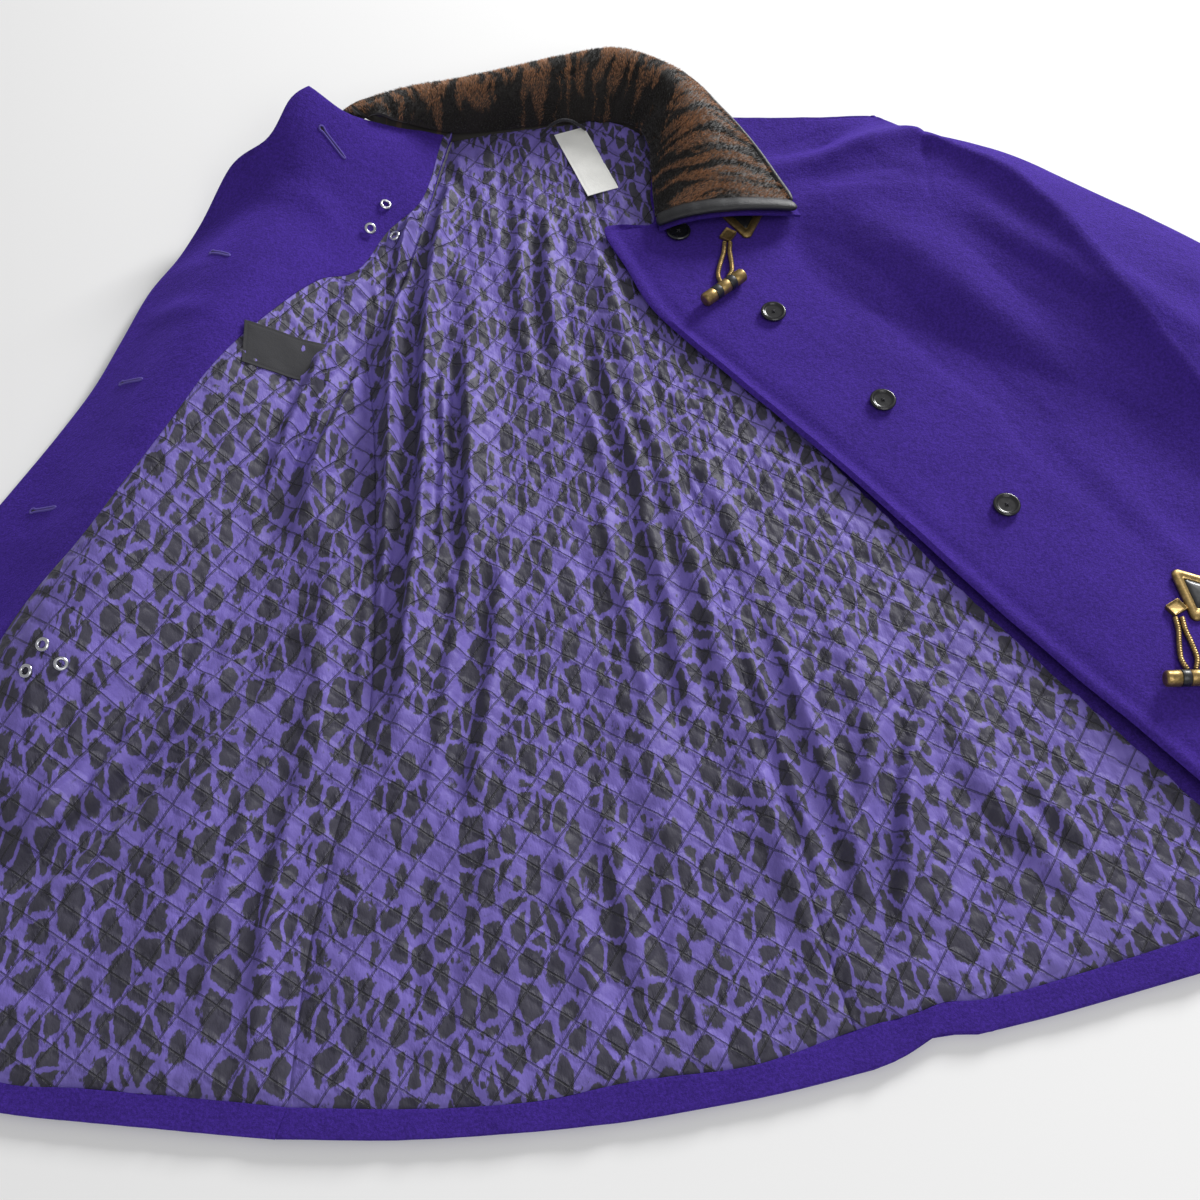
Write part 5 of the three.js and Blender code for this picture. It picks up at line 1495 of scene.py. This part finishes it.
        mesh.uv_layers.new(name="Pelt").data.foreach_set(
            "uv", pelt(place, across)[whose].astype(np.float32).ravel())
        mesh.uv_layers.new(name="Hair").data.foreach_set(
            "uv", np.column_stack([height, shade[whose]]).astype(np.float32).ravel())
        mesh.materials.append(fur)
        piece = bpy.data.objects.new("collar_hairs", mesh)
        bpy.context.scene.collection.objects.link(piece)
        dress(piece, "striped_fur")


# Small hard pieces, set on the cloth.

def seat_on(height, x, y, reach):
    """The turn and place of a hard piece that rests on the cloth at a plan point."""
    def at(dx, dy):
        return height(np.atleast_1d(x + dx).astype(float), np.atleast_1d(y + dy).astype(float))

    slope_x = (at(reach, 0) - at(-reach, 0))[0] / (2 * reach)
    slope_y = (at(0, reach) - at(0, -reach))[0] / (2 * reach)
    angles = np.linspace(0, 2 * np.pi, 16, endpoint=False)
    rise = at(0, 0)[0]
    for share in (0.35, 0.7, 1):
        dx, dy = share * reach * np.cos(angles), share * reach * np.sin(angles)
        rise = max(rise, (at(dx, dy) - slope_x * dx - slope_y * dy).max())
    turn = Vector((0, 0, 1)).rotation_difference(Vector((-slope_x, -slope_y, 1)).normalized())
    return Matrix.Translation((x, y, rise + SEAT)) @ turn.to_matrix().to_4x4()


def placed(points, matrix):
    """Points turned and moved by a matrix."""
    rotation = np.array(matrix.to_3x3())
    return points @ rotation.T + np.array(matrix.translation)


def turned_on_lathe(name, profile, around, matrix, made_of, steps=3):
    """A closed body of revolution about its own upright axis, put in place."""
    line = np.array(profile, float)
    parts = [np.linspace(a, b, steps, endpoint=False) for a, b in zip(line, line[1:])]
    line = np.vstack([*parts, line[-1:]])

    def place(s, t):
        k = np.rint(t * (len(line) - 1)).astype(int)
        r, z = line[k, 0], line[k, 1]
        angle = 2 * np.pi * s
        return placed(np.column_stack([r * np.cos(angle), r * np.sin(angle), z]), matrix)

    return surface(name, around, len(line) - 1, place, made_of)


def tube(name, path, radius, around, along, made_of):
    """A closed tube on a smooth path. radius gives its half width from its share along."""
    def place(s, t):
        t = np.clip(t, 0, 1)
        centre = spaced(path, t)
        ahead = spaced(path, np.clip(t + 0.01, 0, 1)) - spaced(path, np.clip(t - 0.01, 0, 1))
        ahead /= np.linalg.norm(ahead, axis=1)[:, None]
        side = np.cross(ahead, [0.0, 0.0, 1.0])
        side /= np.linalg.norm(side, axis=1)[:, None]
        up = np.cross(side, ahead)
        angle = 2 * np.pi * s
        r = np.where((t <= 0) | (t >= 1), 0, radius(t, angle))[:, None]
        return centre + r * (np.cos(angle)[:, None] * side + np.sin(angle)[:, None] * up)

    return surface(name, around, along, place, made_of)


def front_cloth(x, y):
    """Top of the left front's wool, with its creases."""
    return front_top(x, y) + np.maximum(front_shape(x, y), -2.6)


class COAT_OT_buttons(PieceOperator):
    """Four black sewn-on buttons, and the four stitched buttonholes of the facing"""
    bl_idname = "coat.buttons"
    bl_label = "Buttons"

    def execute(self, context):
        black = glossy_black("Black button", 0.24)
        thread = plain_cloth("Button thread", linear(24, 22, 34), 900)
        for n, (x, y) in enumerate(BUTTONS):
            matrix = seat_on(front_cloth, x, y, 11.25)
            button = turned_on_lathe(f"button_{n + 1}_disc", BUTTON_PROFILE, 48, matrix, black)
            dress(button, "black_button", f"button_{n + 1}")
            for k, (sx, sy) in enumerate([(1, 1), (-1, 1)]):
                half = BUTTON_SPREAD / 2
                path = [(sx * half * w, sy * half * w, 3.1 + 0.9 * (1 - abs(w) ** 3))
                        for w in (-1.25, -0.8, 0, 0.8, 1.25)]
                stitch = tube(f"button_{n + 1}_thread_{k + 1}", placed(np.array(path), matrix),
                              lambda t, a: 0.42, 8, 14, thread)
                dress(stitch, "black_button")
        self.buttonholes()
        return {"FINISHED"}

    def buttonholes(self):
        stitched = plain_cloth("Buttonhole stitching", linear(86, 70, 158), 1500)
        # Painted shade: a near-black strip laid just above the facing stands for the shadow in each buttonhole's slit;
        # the facing is not cut.
        dark = plain_cloth("Buttonhole slit", linear(16, 10, 30), 1500)
        half = BUTTONHOLE_LONG / 2
        for n, (x, y, turn) in enumerate(BUTTONHOLES):
            cos, sin = math.cos(math.radians(turn)), math.sin(math.radians(turn))

            def on_facing(points, lift):
                px = x + points[:, 0] * cos - points[:, 1] * sin
                py = y + points[:, 0] * sin + points[:, 1] * cos
                top = facing_top(px, py) + np.maximum(facing_shape(px, py), -0.2)
                return np.column_stack([px, py, top + lift])

            angles = np.linspace(0.75 * np.pi, -0.75 * np.pi, 9)
            eye = [(-half - 2.2 * math.cos(a), 2.2 * math.sin(a)) for a in angles]
            side = [(-half + 5, 1.2), (0, 1.2), (half - 3, 1.2), (half, 0.7)]
            near_side = [(u, -v) for u, v in side]
            rim = eye + near_side + [(half + 0.8, 0)] + side[::-1] + eye[:1]
            path = on_facing(np.array(rim, float), 0.35)
            ring = tube(f"buttonhole_{n + 1}_rim", path,
                        lambda t, a: 0.85 + 0.16 * np.sin(t * 2 * np.pi * 62), 8, 380, stitched)
            dress(ring, "wool")

            # The painted shadow strip of the slit, wider at the eye end.
            def slit_shadow(s, t):
                u = -half - 1.8 + (BUTTONHOLE_LONG + 2.6) * s
                rounding = np.sqrt(np.clip(1 - (2 * s - 1) ** 8, 0, 1))
                wide = np.where(u < -half + 2.4, 1.6, 0.9) * rounding
                return on_facing(np.column_stack([u, wide * (1 - 2 * t)]), 0.3)

            dress(grid(f"buttonhole_{n + 1}_slit", 30, 4, slit_shadow, dark), "wool")


def triangle_line(side, corner, count):
    """Points round a triangle with rounded corners."""
    radius = side / math.sqrt(3) - corner
    points = []
    for k in range(3):
        middle = math.pi * (0.5 + 2 * k / 3)
        cx, cy = radius * math.cos(middle), radius * math.sin(middle)
        for turn in np.linspace(-math.pi / 3, math.pi / 3, count):
            at = middle + turn
            points.append((cx + corner * math.cos(at), cy + corner * math.sin(at)))
    return np.array(points)


class COAT_OT_toggles(PieceOperator):
    """Two toggles: a triangular plate with its inlay, a link, two strands of chain and a bar"""
    bl_idname = "coat.toggles"
    bl_label = "Toggles"

    def execute(self, context):
        gold = gold_material()
        enamel = glossy_black("Black enamel", 0.42)
        for n, row in enumerate(TOGGLES):
            self.plate(f"toggle_{n + 1}", row, gold, enamel)
            self.chain(f"toggle_{n + 1}", row, gold)
            self.bar(f"toggle_{n + 1}", row, gold, enamel)
        return {"FINISHED"}

    def plate(self, name, row, gold, enamel):
        x, y, turn = row[:3]
        matrix = seat_on(front_cloth, x, y, PLATE_SIDE / math.sqrt(3))
        matrix = matrix @ Matrix.Rotation(math.radians(turn), 4, "Z")
        # The rim's section: how far in from the outer edge, and how high.
        section = [(0, 0), (0, 1.6), (0.4, 2.6), (1.3, 3.3), (2.4, 3.5), (3.5, 3.3), (4.3, 2.7),
                   (4.8, 3.0), (5.4, 2.5), (5.6, 1.6), (5.6, 0), (0, 0)]
        count = 14
        rings = []
        for inset, height in section:
            side = PLATE_SIDE - 2 * math.sqrt(3) * inset
            line = triangle_line(side, max(PLATE_CORNER - inset, 1.5), count)
            rings.append(np.column_stack([line, np.full(len(line), height)]))
        rings = np.array(rings)

        def rim(s, t):
            i = np.rint(s * 3 * count).astype(int) % (3 * count)
            return placed(rings[np.rint(t * (len(section) - 1)).astype(int), i], matrix)

        piece = surface(f"{name}_rim", 3 * count, len(section) - 1, rim, gold)
        bevel = piece.modifiers.new("Soft edges", "BEVEL")
        bevel.width = 0.0002
        bevel.segments = 2
        dress(piece, "antique_gold", f"{name}_plate")

        inner = triangle_line(PLATE_SIDE - 2 * math.sqrt(3) * 5.7, 1.5, count)
        domed = [(1, 0), (1, 1.9), (0.94, 2.4), (0.6, 2.8), (0.25, 2.95), (0, 3.0)]

        def inlay(s, t):
            i = np.rint(s * 3 * count).astype(int) % (3 * count)
            shape = np.array([(0, 0)] + domed, float)[np.rint(t * len(domed)).astype(int)]
            return placed(np.column_stack([inner[i] * shape[:, :1], shape[:, 1]]), matrix)

        piece = surface(f"{name}_panel", 3 * count, len(domed), inlay, enamel)
        dress(piece, "black_enamel", f"{name}_inlay")

    def chain(self, name, row, gold):
        x, y, _, link_x, link_y, end_x, end_y, bar_turn = row
        half = CHAIN_ACROSS / 2
        matrix = seat_on(front_cloth, link_x, link_y, LINK_LONG / 2)
        facing = math.atan2(link_y - y, link_x - x) - math.pi / 2
        matrix = matrix @ Matrix.Rotation(facing, 4, "Z")
        bm = bmesh.new()
        bmesh.ops.create_cube(bm, size=1.0)
        bmesh.ops.scale(bm, vec=(LINK_WIDE, LINK_LONG, LINK_THICK), verts=bm.verts)
        bmesh.ops.translate(bm, vec=(0, 0, LINK_THICK / 2), verts=bm.verts)
        tops = [f for f in bm.faces if f.normal.z > 0.9]
        bmesh.ops.inset_region(bm, faces=tops, thickness=2.2, depth=0)
        bmesh.ops.translate(bm, vec=(0, 0, -1.6), verts=tops[0].verts)
        bmesh.ops.bevel(bm, geom=bm.edges[:], offset=0.5, offset_type="OFFSET", segments=2,
                        profile=0.5, affect="EDGES", material=-1)
        bmesh.ops.transform(bm, matrix=matrix, verts=bm.verts)
        bmesh.ops.translate(bm, vec=Vector(SHIFT), verts=bm.verts)
        bmesh.ops.scale(bm, vec=(MM, MM, MM), verts=bm.verts)
        dress(finished(f"{name}_box", bm, gold), "antique_gold", f"{name}_link")

        dx, dy = end_x - link_x, end_y - link_y
        length = math.hypot(dx, dy)
        away = (-dy / length, dx / length)
        axis = (math.cos(math.radians(bar_turn)), math.sin(math.radians(bar_turn)))
        for side, letter in ((-1, "a"), (1, "b")):
            clear = LINK_LONG / 2 + 2.5
            last = side * CHAIN_SPREAD[-1][1]
            start_x = link_x - end_x + away[0] * last
            start_y = link_y - end_y + away[1] * last
            to_bar = abs(start_x * axis[1] - start_y * axis[0]) - BAR_ACROSS / 2 - half - SEAT
            reach = to_bar / abs((dx * axis[1] - dy * axis[0]) / length)
            path = []
            for share, spread in CHAIN_SPREAD:
                run = clear + share * (reach - clear)
                px = link_x + dx / length * run + away[0] * side * spread
                py = link_y + dy / length * run + away[1] * side * spread
                low = front_cloth(np.array([px]), np.array([py]))[0]
                path.append((px, py, low + half + SEAT))
            strand = tube(f"{name}_strand_{letter}", path,
                          lambda t, a: half * (0.93 + 0.09 * np.sin(t * 2 * np.pi * 21 + a)),
                          14, 210, gold)
            dress(strand, "antique_gold", f"{name}_chain_{letter}")

    def bar(self, name, row, gold, enamel):
        _, _, _, _, _, x, y, turn = row
        r = BAR_ACROSS / 2
        low = front_cloth(np.array([float(x)]), np.array([float(y)]))[0]
        matrix = (Matrix.Translation((x, y, low + r + 2 * SEAT))
                  @ Matrix.Rotation(math.radians(turn), 4, "Z")
                  @ Matrix.Rotation(math.pi / 2, 4, "Y"))
        end = BAR_LONG / 2
        inner, outer = BAND * 0.7, BAND * 1.7
        groove = r - 0.7
        upper = [
            (r, inner - 0.4), (r - 0.3, inner), (groove, inner), (groove, outer),
            (r - 0.3, outer), (r, outer + 0.4), (r, end - 2.6), (r - 0.2, end - 1.5),
            (r - 1.2, end - 0.4), (r - 2.6, end), (0, end),
        ]
        profile = [(across, -along) for across, along in upper[::-1]] + upper
        piece = turned_on_lathe(f"{name}_rod", profile, 40, matrix, gold, 2)
        dress(piece, "antique_gold", f"{name}_bar")
        for side, letter in ((-1, "a"), (1, "b")):
            low = -outer + 0.2 if side < 0 else inner + 0.2
            high = low + BAND - 0.4
            ring = [(groove + 0.3, low), (r, low), (r + 0.2, low + 0.4), (r + 0.2, high - 0.4),
                    (r, high), (groove + 0.3, high), (groove + 0.3, low)]
            piece = turned_on_lathe(f"{name}_ring_{letter}", ring, 40, matrix, enamel, 2)
            dress(piece, "black_enamel", f"{name}_band_{letter}")


class COAT_OT_small_pieces(PieceOperator):
    """Eyelets, care label, patch and hanger loop"""
    bl_idname = "coat.small_pieces"
    bl_label = "Small pieces"

    def execute(self, context):
        silver = silver_material()
        on_right = lining_height(right_lining_level, [FACING_LINE, RIGHT_SIDE], no_slack)
        for n, (x, y) in enumerate(EYELETS):
            matrix = seat_on(on_right, x, y, 5.6)
            ring = turned_on_lathe(f"eyelet_{n + 1}_ring", EYELET_PROFILE + EYELET_PROFILE[:1], 32,
                                   matrix, silver)
            dress(ring, "silver_eyelet", f"eyelet_{n + 1}")

        self.sewn_on("care_label_cloth", LABEL, True, back_lining_level,
                     plain_cloth("Label cloth", linear(236, 236, 232), 1400), "label_cloth",
                     "care_label", "back_quilting_right")
        self.sewn_on("lining_patch_cloth", PATCH, False, right_lining_level,
                     plain_cloth("Patch cloth", linear(24, 24, 30), 1000), "patch_cloth",
                     "lining_patch", "right_front_quilting")

        (x0, y0), (x1, y1) = HANGER["from"], HANGER["to"]
        half = HANGER["across"] / 2
        low = LINING_LEVEL + LINING + 2.4 + 2 * half
        path = [(x0 + (x1 - x0) * t, y0 + (y1 - y0) * t - 3 * math.sin(math.pi * t),
                 low + HANGER["rise"] * math.sin(math.pi * t)) for t in np.linspace(0, 1, 9)]
        cord = tube("hanger_cord", path, lambda t, a: half * (0.92 + 0.1 * np.sin(2 * a + t * 120)),
                    12, 160, plain_cloth("Loop cord", linear(27, 26, 34), 1200))
        dress(cord, "loop_cord", "hanger_loop")
        line = (spline(path) + SHIFT) * MM
        points = [tuple(p) for p in line[::4]] + [tuple(line[-1])]
        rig.cord(cord, exit=points[0], length=float(run_of(line)), diameter=HANGER["across"] * MM,
                far_end="object", stiffness="medium", path=points)
        return {"FINISHED"}

    def sewn_on(self, name, size, hangs, level, made_of, slot, node, rests_on):
        """A small cloth sewn on the lining, with a line of stitches round its edge."""
        cos, sin = math.cos(math.radians(size["turn"])), math.sin(math.radians(size["turn"]))
        puff = LINING + sizes().quilt_puff / MM + SEAT + 0.5

        def place(s, t):
            u = size["wide"] * (s - 0.5)
            v = -size["long"] * t if hangs else size["long"] * (0.5 - t)
            x = size["x"] + u * cos - v * sin
            y = size["y"] + u * sin + v * cos
            edge = np.minimum(np.minimum(s, 1 - s) * size["wide"],
                              np.minimum(t, 1 - t) * size["long"])
            seam = 0.35 * bell(edge - 2.2, 0.7)
            lift = size["thick"] + 0.5 * wander(x / 13, y / 13, 71) - seam
            return np.column_stack([x, y, level(x, y) + puff + lift])

        piece = grid(name, round(size["wide"]), round(size["long"]), place, made_of)
        dress(thicken(piece, size["thick"], 0.2), slot, node)
        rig.sheet(piece, flat=(size["wide"] * MM, size["long"] * MM * 1.02), held="laid",
                 rests_on=[rests_on])


class COAT_OT_stage(PieceOperator):
    """Pale floor, soft light and the camera of the coat's own view"""
    bl_idname = "coat.stage"
    bl_label = "Stage"

    def execute(self, context):
        def paper(tree, shader):
            set_inputs(tree, shader, Base_Color=rgba(linear(236, 236, 236)), Roughness=0.9)

        bm = bmesh.new()
        bmesh.ops.create_grid(bm, x_segments=4, y_segments=4, size=FLOOR_REACH)
        bmesh.ops.translate(bm, vec=(0, 0, -FLOOR_DROP), verts=bm.verts)
        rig.stage(finished("floor", bm, material("Pale floor", paper)))

        for name, spot, size, power in LAMPS:
            light = bpy.data.lights.new(name, "AREA")
            light.size = size
            light.energy = power
            lamp = bpy.data.objects.new(name, light)
            lamp.location = spot
            lamp.rotation_euler = Vector(spot).to_track_quat("Z", "Y").to_euler()
            context.scene.collection.objects.link(lamp)
            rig.stage(lamp)

        world = bpy.data.worlds.new("Soft studio")
        world.use_nodes = True
        sky = world.node_tree.nodes["Background"].inputs
        sky["Color"].default_value = (1.0, 1.0, 1.0, 1)
        sky["Strength"].default_value = STUDIO_LIGHT
        context.scene.world = world

        camera = bpy.data.objects.new("camera", bpy.data.cameras.new("camera"))
        camera.data.lens = CAMERA_LENS
        camera.data.sensor_fit = "HORIZONTAL"
        camera.data.sensor_width = 36
        camera.location = (SHIFT[0] * MM, SHIFT[1] * MM, CAMERA_HEIGHT)
        camera.rotation_euler = (CAMERA_TILT, 0, 0)
        context.scene.collection.objects.link(camera)
        context.scene.camera = camera
        context.scene.view_settings.view_transform = "Standard"
        return {"FINISHED"}


class COAT_PT_panel(bpy.types.Panel):
    """The coat's sizes, colours and pieces"""
    bl_label = "Coat"
    bl_idname = "COAT_PT_panel"
    bl_space_type = "VIEW_3D"
    bl_region_type = "UI"
    bl_category = "Coat"

    def draw(self, context):
        layout = self.layout
        for group in (context.scene.coat_sizes, context.scene.coat_colours):
            for prop in group.__annotations__:
                layout.prop(group, prop)
        for operator in OPERATORS:
            layout.operator(operator.bl_idname)


OPERATORS = [
    COAT_OT_back, COAT_OT_right_front, COAT_OT_sleeves, COAT_OT_left_front, COAT_OT_collar,
    COAT_OT_buttons, COAT_OT_toggles, COAT_OT_small_pieces, COAT_OT_stage,
]
CLASSES = [CoatSizes, CoatColours, *OPERATORS, COAT_PT_panel]


def register():
    for cls in CLASSES:
        bpy.utils.register_class(cls)
    bpy.types.Scene.coat_sizes = PointerProperty(type=CoatSizes)
    bpy.types.Scene.coat_colours = PointerProperty(type=CoatColours)


def unregister():
    del bpy.types.Scene.coat_colours
    del bpy.types.Scene.coat_sizes
    for cls in reversed(CLASSES):
        bpy.utils.unregister_class(cls)


def main():
    register()
    bpy.ops.coat.back()
    bpy.ops.coat.right_front()
    bpy.ops.coat.sleeves()
    bpy.ops.coat.left_front()
    bpy.ops.coat.collar()
    bpy.ops.coat.buttons()
    bpy.ops.coat.toggles()
    bpy.ops.coat.small_pieces()
    bpy.ops.coat.stage()
    boxes = {"cad": CAD_BOX, "visual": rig.bounds()}
    plain = {name: [[float(v) for v in corner] for corner in box] for name, box in boxes.items()}
    with open("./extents.json", "w") as file:
        json.dump(plain, file)


if __name__ == "__main__":
    main()
